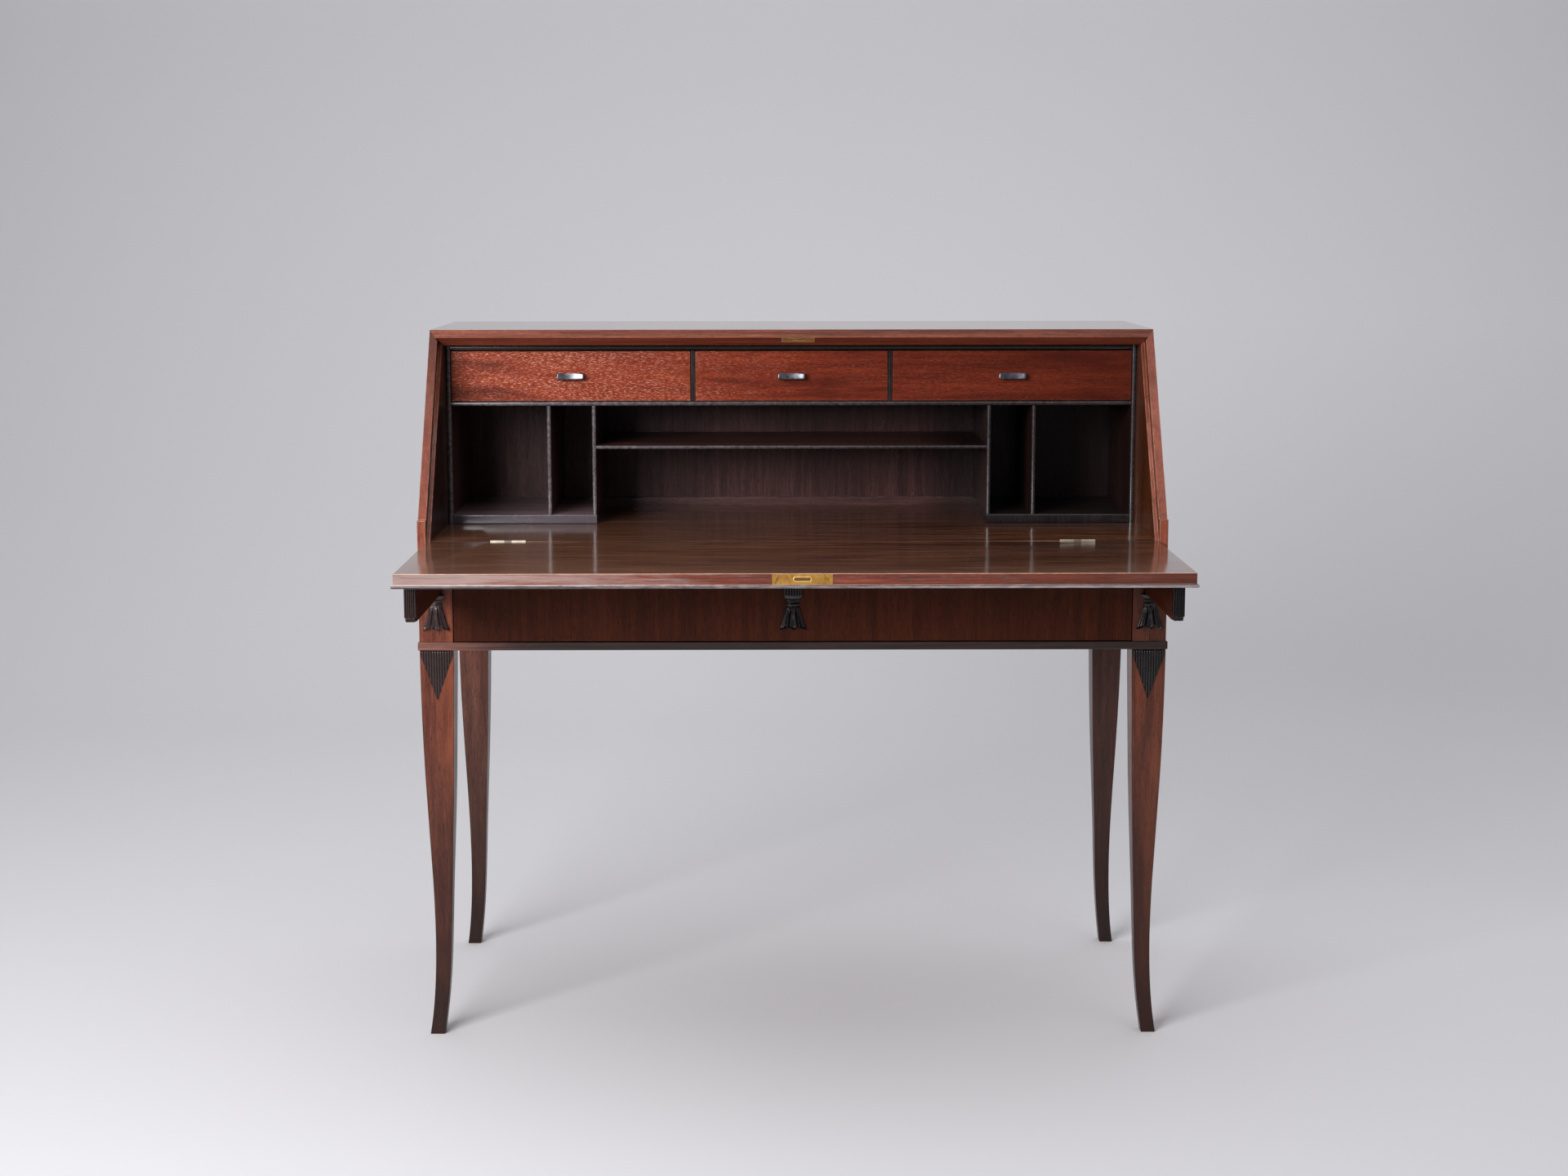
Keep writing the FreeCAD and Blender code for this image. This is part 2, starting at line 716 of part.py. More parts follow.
def fall():
    board = block("fall_panel", (-fall_half, fall_half), (fall_front, fall_back), (bed_z, writing_z))
    lip_half = fall_half + s.lip_proud
    lip = block(
        "fall_lip",
        (-lip_half, lip_half),
        (fall_front - s.lip_proud, hinge_y - s.lip_start),
        (bed_z, bed_z + s.lip_thick),
    )
    case_low = lock_z - s.lock_case_height / 2
    plate_back = s.lock_plate_thick
    case_back = plate_back + s.lock_case_depth
    plate_size = (s.lock_plate_length / 2, zero, plate_back, s.lock_plate_height / 2)
    case_size = (s.lock_case_length / 2, plate_back, case_back, s.lock_case_height / 2)
    escutcheon_at = (zero, fall_front + s.keyhole_place, bed_z)
    escutcheon_size = (s.escutcheon_thick, s.escutcheon_radius)
    tools = [
        *hinge_room("fall", *fall_leaf),
        lock_block("plate_room", *plate_size),
        lock_block("lock_room", *case_size),
        *lock_rods("lock_hole", s.screw_radius + s.screw_play, s.screw_length + s.screw_play),
        rod("escutcheon_room", "z", escutcheon_at, *escutcheon_size),
        *keyhole("fall_keyhole", case_low),
    ]
    node("fall_board", cut("fall_cut", fuse("fall_solid", board, lip), *tools))

    mouth = lock_block("plate_mouth", slot_width, -s.overrun, plate_back + s.overrun, slot_thick)
    holes = lock_rods("plate_hole", s.screw_radius + s.screw_play, s.screw_length)
    node("lock_plate", cut("plate_cut", lock_block("lock_face", *plate_size), mouth, *holes))
    channel_end = s.bolt_sink + s.bolt_length + s.bolt_play
    channel = lock_block("bolt_channel", slot_width, zero, channel_end, slot_thick)
    box = lock_block("lock_box", *case_size)
    node("lock_case", cut("lock_cut", box, channel))
    node("lock_screws", group("lock_screw_pair", *lock_rods("lock_screw", s.screw_radius, s.screw_length)))
    disc = rod("escutcheon_disc", "z", escutcheon_at, *escutcheon_size)
    eye = keyhole("escutcheon_keyhole", bed_z + s.escutcheon_thick + s.overrun)
    node("keyhole_escutcheon", cut("escutcheon_cut", disc, *eye))
    bolt_end = s.bolt_sink + s.bolt_length
    node("lock_bolt", lock_block("bolt_bar", s.bolt_width / 2, s.bolt_sink, bolt_end, s.bolt_thick / 2))


def lopers():
    """Pull-out bars in the front posts, each with a carved end and a stop peg, and their guides."""
    left = -post_mid
    half_width = s.loper_width / 2
    high = (loper_low, loper_top)
    across = (left - half_width, left + half_width)
    bar = block("loper_bar", across, (loper_front + s.loper_cap, loper_front + s.loper_length), high)
    peg = rod("loper_peg", "x", (left, peg_y, peg_z), half_width + s.peg_reach, s.peg_radius)
    pair("loper", fuse("loper_solid", bar, peg))

    inset = s.cap_foot_inset
    shoulder = s.cap_foot_height + inset
    corners = [
        (inset, zero),
        (s.loper_width - inset, zero),
        (s.loper_width - inset, s.cap_foot_height),
        (s.loper_width, shoulder),
        (s.loper_width, s.loper_height),
        (zero, s.loper_height),
        (zero, shoulder),
        (inset, s.cap_foot_height),
    ]
    cap = new_body("loper_end", x=left - half_width, y=loper_front + s.loper_cap, z=loper_low)
    pad(cap, "loper_end_pad", outline(cap, "loper_end_outline", "XZ_Plane", corners), s.loper_cap)
    pair("loper_cap", cap)

    floor = slot_floor - s.guide_floor
    guide = block("guide_block", (-frieze_in, -post_in), (post_back, rear_post), (floor, bed_z))
    channel = block(
        "guide_channel",
        (left - slot_half, left + slot_half),
        (post_back - s.overrun, rear_post + s.overrun),
        (slot_floor, bed_z + s.overrun),
    )
    room = s.peg_radius + s.peg_play
    groove = block(
        "peg_groove",
        (left, left + half_width + s.peg_reach + s.peg_play),
        (post_back - s.overrun, peg_y + loper_travel + room),
        (peg_z - room, peg_z + room),
    )
    pair("loper_guide", cut("guide_cut", guide, channel, groove))


def drawer_box(name, across, depths, heights, wall, bottom):
    """Two sides, a back and a bottom; the front closes the open end."""
    shell = block(f"{name}_shell", across, depths, heights)
    room = block(
        f"{name}_room",
        (across[0] + wall, across[1] - wall),
        (depths[0] - s.overrun, depths[1] - wall),
        (heights[0] + bottom, heights[1] + s.overrun),
    )
    return cut(f"{name}_box", shell, room)


def frieze_drawer():
    width = post_in - s.frieze_gap
    low = frieze_z + s.frieze_gap
    back = front + s.frieze_front_thick
    board = block("frieze_panel", (-width, width), (front, back), (low, bed_z - s.frieze_gap))
    node("frieze_drawer_front", board)
    inner = post_in - s.frieze_box_play
    depths = (back, panel_front - s.frieze_back_gap)
    heights = (frieze_z + s.loper_gap, frieze_z + s.loper_gap + s.frieze_box_height)
    box = drawer_box("frieze", (-inner, inner), depths, heights, s.frieze_wall, s.frieze_bottom)
    node("frieze_drawer_box", box)
    collar = frieze_z + s.bell_lift + s.bell_height
    capital = block(
        "capital",
        (-s.capital_width / 2, s.capital_width / 2),
        (front - s.bell_depth, front),
        (collar, collar + s.capital_height),
    )
    node("frieze_drawer_tassel", fuse("centre_tassel", bell("centre_bell", zero, front), capital))
    pair("post_tassel", bell("post_bell", -post_mid, front))


def pigeonholes():
    deep = (unit_front, panel_front)
    pair("unit_side", block("unit_side", (-side_in, -unit_in), deep, (writing_z, top_z)))
    across = (-unit_in, unit_in)
    node("unit_top", block("unit_top_board", across, deep, (drawers_top, top_z)))
    node("drawer_shelf", block("drawer_shelf_board", across, deep, (holes_top, drawers_floor)))
    base = (-unit_in, -partition_inner + half_partition)
    pair("pigeonhole_base", block("hole_base", base, deep, (writing_z, holes_floor)))
    boards = []
    for place in (partition_outer, partition_inner):
        thick = (-place - half_partition, -place + half_partition)
        boards.append(block("partition", thick, deep, (holes_floor, holes_top)))
    pair("partitions", group("partition_pair", *boards))
    shelf_low = writing_z + s.shelf_rise
    span = partition_inner - half_partition
    node("centre_shelf", block("shelf_board", (-span, span), deep, (shelf_low, shelf_low + s.shelf_thick)))
    thick = (-s.divider_place - half_partition, -s.divider_place + half_partition)
    divider = block("divider", thick, deep, (drawers_floor, drawers_top))
    node("drawer_dividers", group("divider_pair", divider, mirrored("divider_mirror", divider)))


def small_drawer(name, low_x, high_x):
    across = (low_x + s.drawer_gap, high_x - s.drawer_gap)
    heights = (drawers_floor + s.drawer_gap, drawers_top - s.drawer_gap)
    back = unit_front + s.drawer_front_thick
    board = block(f"{name}_front_board", across, (unit_front, back), heights)
    play = s.drawer_box_play
    box = drawer_box(
        name,
        (across[0] + play, across[1] - play),
        (back, panel_front - s.drawer_back_gap),
        (heights[0], heights[1] - s.drawer_box_drop),
        s.drawer_wall,
        s.drawer_bottom,
    )
    middle = (across[0] + across[1]) / 2
    level = (heights[0] + heights[1]) / 2
    stem_front = unit_front - s.pull_stem_length
    stem = block(
        f"{name}_pull_stem",
        (middle - s.pull_stem_width / 2, middle + s.pull_stem_width / 2),
        (stem_front, unit_front),
        (level - s.pull_stem_height / 2, level + s.pull_stem_height / 2),
    )
    bar = block(
        f"{name}_pull_bar",
        (middle - s.pull_width / 2, middle + s.pull_width / 2),
        (stem_front - s.pull_thick, stem_front),
        (level - s.pull_height / 2, level + s.pull_height / 2),
    )
    return board, box, fuse(f"{name}_pull", stem, bar)


def small_drawers():
    inner = s.divider_place - half_partition
    outer = s.divider_place + half_partition
    for side, low_x, high_x in (("left", -unit_in, -outer), ("centre", -inner, inner), ("right", outer, unit_in)):
        pieces = small_drawer(f"drawer_{side}", low_x, high_x)
        for piece, solid in zip(("front", "box", "pull"), pieces):
            node(f"drawer_{side}_{piece}", solid)


legs()
frieze_frame()
mouldings()
upper_case()
strike()
hinges()
fall()
lopers()
frieze_drawer()
pigeonholes()
small_drawers()
doc.recompute()

failed = [item.Name for item in doc.Objects if {"Invalid", "Error"} & set(item.State)]
if failed:
    raise RuntimeError(f"objects that did not recompute: {failed}")
for piece in nodes:
    if piece.Shape.isNull() or not piece.Shape.isValid():
        raise RuntimeError(f"no valid shape: {piece.Label}")

os.makedirs("parts", exist_ok=True)
for piece in nodes:
    piece.Shape.exportStep(f"parts/{piece.Label}.step")
print(len(nodes), "sub-parts")
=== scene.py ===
import json
import math

import bmesh
import bpy
from mathutils import Matrix, Vector

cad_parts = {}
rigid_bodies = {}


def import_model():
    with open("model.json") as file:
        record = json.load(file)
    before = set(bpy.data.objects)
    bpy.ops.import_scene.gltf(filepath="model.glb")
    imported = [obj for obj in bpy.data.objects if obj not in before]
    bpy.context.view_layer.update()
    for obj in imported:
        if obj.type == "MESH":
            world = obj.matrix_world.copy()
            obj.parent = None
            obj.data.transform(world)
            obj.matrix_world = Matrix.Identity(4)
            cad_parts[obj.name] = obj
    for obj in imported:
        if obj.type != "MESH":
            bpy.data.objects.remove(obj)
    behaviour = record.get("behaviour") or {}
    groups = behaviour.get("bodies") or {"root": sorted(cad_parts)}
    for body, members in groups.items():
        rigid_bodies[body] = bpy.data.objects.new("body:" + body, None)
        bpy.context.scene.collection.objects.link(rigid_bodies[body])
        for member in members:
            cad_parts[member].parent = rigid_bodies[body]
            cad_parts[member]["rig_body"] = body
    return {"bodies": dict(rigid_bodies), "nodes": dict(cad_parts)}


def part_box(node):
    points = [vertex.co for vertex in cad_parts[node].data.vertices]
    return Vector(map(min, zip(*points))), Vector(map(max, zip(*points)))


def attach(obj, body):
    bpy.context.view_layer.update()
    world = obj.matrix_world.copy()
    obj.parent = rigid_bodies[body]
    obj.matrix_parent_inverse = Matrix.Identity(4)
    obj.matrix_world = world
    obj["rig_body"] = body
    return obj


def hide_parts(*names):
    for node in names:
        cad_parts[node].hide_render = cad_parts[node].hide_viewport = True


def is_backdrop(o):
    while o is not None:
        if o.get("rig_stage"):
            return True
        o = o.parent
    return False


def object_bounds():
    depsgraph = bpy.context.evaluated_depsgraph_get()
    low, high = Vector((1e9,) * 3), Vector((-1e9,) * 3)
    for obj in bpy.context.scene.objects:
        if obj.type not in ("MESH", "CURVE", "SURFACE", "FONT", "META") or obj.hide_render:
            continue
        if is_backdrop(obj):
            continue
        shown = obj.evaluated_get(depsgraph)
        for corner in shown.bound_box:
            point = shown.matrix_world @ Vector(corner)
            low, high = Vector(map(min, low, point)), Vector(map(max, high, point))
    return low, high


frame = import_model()

# Slant-front writing desk. Metres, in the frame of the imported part: X to the right, Y to the back, Z up.
MM = 0.001
nodes = frame["nodes"]
# Only what the part brings along stays in the scene.
known = set(nodes.values()) | set(frame["bodies"].values())
for stray in [o for o in bpy.data.objects if o not in known]:
    bpy.data.objects.remove(stray)
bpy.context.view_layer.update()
scene = bpy.context.scene
scene.view_settings.view_transform = "Standard"


# Materials

def linear(red, green, blue):
    """A colour as it looks on a screen, 0 to 255, as the renderer's linear colour."""
    parts = []
    for value in (red, green, blue):
        share = value / 255
        parts.append(share / 12.92 if share <= 0.04045 else ((share + 0.055) / 1.055) ** 2.4)
    return (*parts, 1.0)


class Shade:
    """A node material on one Principled shader, painted in the part's own coordinates."""

    def __init__(self, name):
        self.material = bpy.data.materials.new(name)
        self.material.use_nodes = True
        self.tree = self.material.node_tree
        self.tree.nodes.clear()
        self.shader = self.add("ShaderNodeBsdfPrincipled")
        output = self.add("ShaderNodeOutputMaterial")
        self.tree.links.new(self.shader.outputs["BSDF"], output.inputs["Surface"])
        self.place = self.add("ShaderNodeTexCoord").outputs["Object"]

    def add(self, kind, **settings):
        node = self.tree.nodes.new(kind)
        for key, value in settings.items():
            setattr(node, key, value)
        return node

    def put(self, socket, value):
        if isinstance(value, bpy.types.NodeSocket):
            self.tree.links.new(value, socket)
        else:
            socket.default_value = value

    def set(self, **values):
        for name, value in values.items():
            self.put(self.shader.inputs[name.replace("_", " ").title().replace("Ior", "IOR")], value)

    def noise(self, scale, detail=4.0, rough=0.55, twist=0.0, shift=(0, 0, 0)):
        mapping = self.add("ShaderNodeMapping")
        self.put(mapping.inputs["Vector"], self.place)
        self.put(mapping.inputs["Location"], shift)
        self.put(mapping.inputs["Scale"], scale)
        texture = self.add("ShaderNodeTexNoise")
        self.put(texture.inputs["Vector"], mapping.outputs["Vector"])
        for name, value in (("Scale", 1.0), ("Detail", detail), ("Roughness", rough), ("Distortion", twist)):
            self.put(texture.inputs[name], value)
        return texture.outputs["Fac"]

    def maths(self, operation, first, second=0.0, third=0.0):
        node = self.add("ShaderNodeMath", operation=operation)
        for socket, value in zip(node.inputs, (first, second, third)):
            self.put(socket, value)
        return node.outputs[0]

    def span(self, value, low, high, new_low=0.0, new_high=1.0):
        """Stretch a value from one range to another, and keep it inside."""
        node = self.add("ShaderNodeMapRange")
        for socket, number in zip(node.inputs, (value, low, high, new_low, new_high)):
            self.put(socket, number)
        return node.outputs[0]

    def ramp(self, value, stops):
        node = self.add("ShaderNodeValToRGB")
        points = node.color_ramp.elements
        while len(points) < len(stops):
            points.new(1.0)
        for point, (place, colour) in zip(points, stops):
            point.position = place
            point.color = colour
        self.put(node.inputs["Fac"], value)
        return node.outputs["Color"]

    def mix(self, share, first, second, blend="MIX"):
        node = self.add("ShaderNodeMix", data_type="RGBA", blend_type=blend)
        for index, value in ((0, share), (6, first), (7, second)):
            self.put(node.inputs[index], value)
        return node.outputs[2]

    def axis(self, letter):
        node = self.add("ShaderNodeSeparateXYZ")
        self.put(node.inputs[0], self.place)
        return node.outputs["XYZ".index(letter)]

    def bump(self, height, distance, strength=1.0):
        node = self.add("ShaderNodeBump")
        for name, value in (("Strength", strength), ("Distance", distance), ("Height", height)):
            self.put(node.inputs[name], value)
        self.put(self.shader.inputs["Normal"], node.outputs["Normal"])


def along(letter, length, across):
    return tuple(length if axis == letter else across for axis in "XYZ")


# Woods: dark, middle, light and pore tone, roughness from and to, specular level, coat weight and roughness.
WOODS = {
    "mahogany": ((60, 26, 17), (100, 48, 33), (134, 74, 52), (40, 17, 12), 0.36, 0.5, 0.16, 0.3, 0.16),
    "mahogany_top": ((70, 31, 21), (108, 53, 37), (140, 80, 58), (46, 20, 14), 0.34, 0.48, 0.2, 1.0, 0.05),
    "mahogany_band": ((82, 39, 28), (126, 67, 51), (160, 98, 77), (54, 25, 18), 0.36, 0.5, 0.15, 0.3, 0.2),
    # A darker, greyer copy for the back legs and the case's back face: on the legs painted shade and haze.
    "mahogany_back": ((52, 26, 18), (92, 50, 38), (120, 74, 59), (34, 18, 13), 0.36, 0.5, 0.2, 0.3, 0.16),
    # A lighter copy of the case wood for the strips facing up to the front and the shoulder under the top: painted
    # light.
    "mahogany_strip": ((100, 45, 30), (134, 65, 45), (158, 86, 62), (66, 29, 19), 0.34, 0.48, 0.25, 0.5, 0.16),
    "mahogany_fall": ((56, 29, 18), (92, 53, 34), (130, 85, 61), (42, 21, 13), 0.38, 0.5, 0.1, 1.0, 0.13),
    "mahogany_frieze": ((54, 22, 10), (71, 31, 15), (86, 41, 21), (40, 17, 8), 0.42, 0.55, 0.08, 0.1, 0.25),
    "mahogany_drawers": ((74, 21, 10), (114, 37, 17), (150, 58, 29), (50, 15, 7), 0.34, 0.46, 0.1, 0.1, 0.22),
    # A darker copy for the inner faces of the case sides: painted shade.
    "mahogany_cheek": ((52, 24, 9), (82, 40, 17), (106, 58, 28), (34, 16, 7), 0.34, 0.48, 0.2, 0.4, 0.16),
    # Pale violet-grey pigeonhole floors: a painted reflection of the bright room over the wood's grain.
    "mahogany_floor": ((80, 60, 64), (116, 92, 98), (142, 116, 122), (52, 38, 40), 0.4, 0.55, 0.3, 0.3, 0.25),
    "mahogany_inside": ((38, 22, 20), (72, 45, 42), (100, 67, 64), (23, 13, 12), 0.32, 0.46, 0.24, 0.22, 0.2),
    "brown_oak": ((72, 46, 30), (112, 78, 52), (140, 104, 74), (48, 30, 20), 0.5, 0.68, 0.3, 0.0, 0.3),
}
# Tone of the edges: rubbed pale, on the fall also a painted highlight; on the legs and the back a painted dark shade
# line.
EDGE_WEAR_AND_LIGHT = {
    "mahogany": (38, 20, 15),
    "mahogany_back": (34, 22, 18),
    "mahogany_band": (200, 150, 130),
    "mahogany_strip": (206, 156, 134),
    "mahogany_fall": (226, 188, 164),
    "mahogany_frieze": (104, 60, 42),
    "mahogany_drawers": (160, 84, 58),
    "mahogany_inside": (108, 84, 76),
}
# Each finish is made once.
made = {}


def grained(shade, letter, tones):
    """Bands, streaks, fibres and open pores along one axis: the colour and the height."""
    dark, middle, light, pore = tones
    bands = shade.noise(along(letter, 1.1, 16), 3.0, 0.5, 0.6)
    streaks = shade.noise(along(letter, 4.5, 105), 5.0, 0.6, 0.35, (3.1, 1.7, 0.4))
    fibres = shade.noise(along(letter, 24, 540), 3.0, 0.6, 0.1, (0.7, 2.3, 5.1))
    pores = shade.noise(along(letter, 105, 1150), 2.0, 0.5, 0.0, (4.2, 0.9, 1.3))
    grain = shade.maths("MULTIPLY_ADD", streaks, 0.5, shade.maths("MULTIPLY", fibres, 0.32))
    grain = shade.maths("MULTIPLY_ADD", bands, 0.34, grain)
    colour = shade.ramp(grain, [(0.42, linear(*dark)), (0.58, linear(*middle)), (0.76, linear(*light))])
    open_pores = shade.span(pores, 0.43, 0.33)
    colour = shade.mix(shade.maths("MULTIPLY", open_pores, 0.75), colour, linear(*pore))
    height = shade.maths("MULTIPLY_ADD", open_pores, -0.8, shade.maths("MULTIPLY", fibres, 0.4))
    return colour, shade.maths("MULTIPLY_ADD", streaks, 0.5, height)


def drawer_figure(shade, letter, colour):
    """Small drawers: a painted sheen and painted glints in the pores at the left, patched with brown, painted shade
    at the right.
    """
    across = shade.axis("X")
    # Painted sheen: lighter towards the left.
    colour = shade.mix(shade.span(across, -0.52, 0.05, 0.62, 0.0), colour, linear(166, 62, 30))
    patches = shade.noise(along(letter, 4, 26), 3.0, 0.6, 0.5, (8.4, 0.3, 2.2))
    colour = shade.mix(shade.span(patches, 0.46, 0.3, 0.0, 0.65), colour, linear(62, 20, 11))
    dashes = shade.noise(along(letter, 190, 1000), 2.0, 0.6, 0.3, (1.4, 3.3, 0.2))
    glint_flecks = shade.maths("MULTIPLY", shade.span(dashes, 0.52, 0.7), shade.span(patches, 0.36, 0.56, 0.3, 1.0))
    # Glints in the pores, only towards the left: painted highlights.
    glint_flecks = shade.maths("MULTIPLY", glint_flecks, shade.span(across, -0.46, 0.02, 0.95, 0.1))
    colour = shade.mix(glint_flecks, colour, linear(250, 190, 164))
    # Painted shade: darker towards the right.
    return shade.mix(shade.span(across, -0.05, 0.42, 0.0, 0.55), colour, linear(66, 22, 11))


def fall_figure(shade, letter, colour):
    """Writing surface: fine streaks and specks, lighter at the left with painted light, lighter towards the front and
    darker towards the back.
    """
    lines = shade.noise(along(letter, 7, 115), 5.0, 0.7, 0.25, (6.1, 0.2, 3.3))
    colour = shade.mix(shade.span(lines, 0.5, 0.66, 0.0, 0.55), colour, linear(160, 106, 76))
    colour = shade.mix(shade.span(lines, 0.48, 0.36, 0.0, 0.65), colour, linear(34, 16, 10))
    specks = shade.noise(along(letter, 150, 400), 1.0, 0.4, 0.0, (2.2, 5.2, 0.6))
    colour = shade.mix(shade.span(specks, 0.74, 0.8, 0.0, 0.3), colour, linear(190, 150, 126))
    # Painted light: lighter towards the left.
    colour = shade.mix(shade.span(shade.axis("X"), -0.5, 0.15, 0.22, 0.0), colour, linear(176, 128, 104))
    depth = shade.axis("Y")
    colour = shade.mix(shade.span(depth, -0.26, -0.4, 0.0, 0.2), colour, linear(186, 134, 112))
    return shade.mix(shade.span(depth, -0.06, 0.12, 0.0, 0.25), colour, linear(44, 22, 18))


def cheek_figure(shade, letter, colour):
    """Inner faces of the case sides: painted shade, darker on the left one."""
    return shade.mix(shade.span(shade.axis("X"), -0.2, 0.2, 0.72, 0.0), colour, linear(16, 7, 6))


def shaded_right(share):
    """Pigeonholes: painted shade darkens the right-hand ones by a share."""
    return lambda shade, letter, colour: shade.mix(
        shade.span(shade.axis("X"), 0.2, 0.27, 0.0, share), colour, linear(13, 7, 5))


def case_figure(shade, letter, colour):
    """Case and front legs: warm and brown clouds along the grain."""
    warm = shade.noise(along(letter, 5, 26), 4.0, 0.6, 0.5, (2.6, 7.1, 1.9))
    colour = shade.mix(shade.span(warm, 0.5, 0.7, 0.0, 0.6), colour, linear(146, 76, 46))
    return shade.mix(shade.span(warm, 0.46, 0.3, 0.0, 0.6), colour, linear(58, 33, 25))


def upright_figure(shade, letter, colour):
    """Upright boards and legs: dark towards the feet, and darker at the right with painted shade."""
    if letter != "Z":
        return colour
    colour = shade.mix(shade.span(shade.axis("Z"), 0.05, 0.52, 0.88, 0.0), colour, linear(24, 12, 9))
    # Painted shade: darker at the right.
    return shade.mix(shade.span(shade.axis("X"), 0.2, 0.5, 0.0, 0.26), colour, linear(46, 28, 24))


FIGURES = {
    "mahogany": (case_figure, upright_figure),
    "mahogany_back": (upright_figure,),
    "mahogany_fall": (fall_figure,),
    "mahogany_drawers": (drawer_figure,),
    "mahogany_cheek": (cheek_figure,),
    "mahogany_floor": (shaded_right(0.94),),
    "mahogany_inside": (shaded_right(0.75),),
}


def wood(slot, letter, worn=False):
    """Polished wood with its grain along one axis.

    The last argument is True for the tone of an edge, rubbed, with painted highlight on the fall and painted shade on
    the legs and back, and "ends" for one that is pale only towards its ends, rubbed and with a painted reflection."""
    key = f"{slot}_{letter.lower()}{'_ends' if worn == 'ends' else '_edge' if worn else ''}"
    if key in made:
        return made[key]
    *tones, smooth, rough, specular, coat, coat_rough = WOODS[slot]
    shade = Shade(key)
    colour, height = grained(shade, letter, tones)
    for figure in FIGURES.get(slot, ()):
        colour = figure(shade, letter, colour)
    if worn:
        rubbed = shade.noise((60, 60, 60), 5.0, 0.7, 0.3)
        # On the fall the pale edge is mostly a painted highlight along the arris.
        least, most = (0.6, 1.0) if slot == "mahogany_fall" else (0.15, 0.8)
        share = shade.span(rubbed, 0.42, 0.64, least, most)
        # Pale only towards the ends: rubbing and a painted reflection.
        if worn == "ends":
            outward = shade.maths("ABSOLUTE", shade.axis("X"))
            share = shade.maths("MULTIPLY", share, shade.span(outward, 0.3, 0.38, 0.05, 1.0))
        colour = shade.mix(share, colour, linear(*EDGE_WEAR_AND_LIGHT[slot]))
    cloud = shade.noise((9, 9, 9), 4.0, 0.6)
    shade.set(base_color=colour, roughness=shade.span(cloud, 0.3, 0.7, smooth, rough), specular_ior_level=specular)
    shade.set(coat_weight=coat, coat_roughness=coat_rough)
    if slot == "mahogany_inside":
        shade.set(specular_tint=(1.0, 0.8, 0.86, 1.0))
    shade.bump(height, 0.22 * MM, 0.1 if slot == "mahogany_fall" else 0.6)
    made[key] = shade.material
    return shade.material


def fall_front():
    """The front edge of the fall: red-brown and knocked, paler pink towards the left end with a painted sheen over
    the rubbing, darker towards the right end with painted shade.
    """
    shade = Shade("fall_front")
    tones = ((70, 26, 14), (112, 46, 27), (146, 72, 46), (44, 17, 10))
    colour, height = grained(shade, "X", tones)
    warm = shade.noise((7, 7, 110), 4.0, 0.65, 0.2, (4.4, 0.6, 2.8))
    colour = shade.mix(shade.span(warm, 0.52, 0.68, 0.0, 0.45), colour, linear(158, 74, 42))
    colour = shade.mix(shade.span(warm, 0.46, 0.32, 0.0, 0.4), colour, linear(58, 24, 16))
    rubbed = shade.noise((11, 11, 230), 6.0, 0.72, 0.2)
    # Painted sheen: paler pink towards the left end, added to the rubbing.
    left = shade.span(shade.axis("X"), -0.54, -0.02, 0.42, 0.0)
    share = shade.span(shade.maths("ADD", rubbed, left), 0.56, 0.9, 0.0, 0.85)
    colour = shade.mix(share, colour, linear(162, 138, 132))
    # Painted shade: darker towards the right end.
    colour = shade.mix(shade.span(shade.axis("X"), 0.1, 0.5, 0.0, 0.55), colour, linear(56, 24, 14))
    shade.set(base_color=colour, roughness=shade.span(rubbed, 0.3, 0.7, 0.3, 0.46), specular_ior_level=0.4)
    shade.set(coat_weight=0.6, coat_roughness=0.2)
    shade.bump(height, 0.3 * MM, 0.6)
    return shade.material


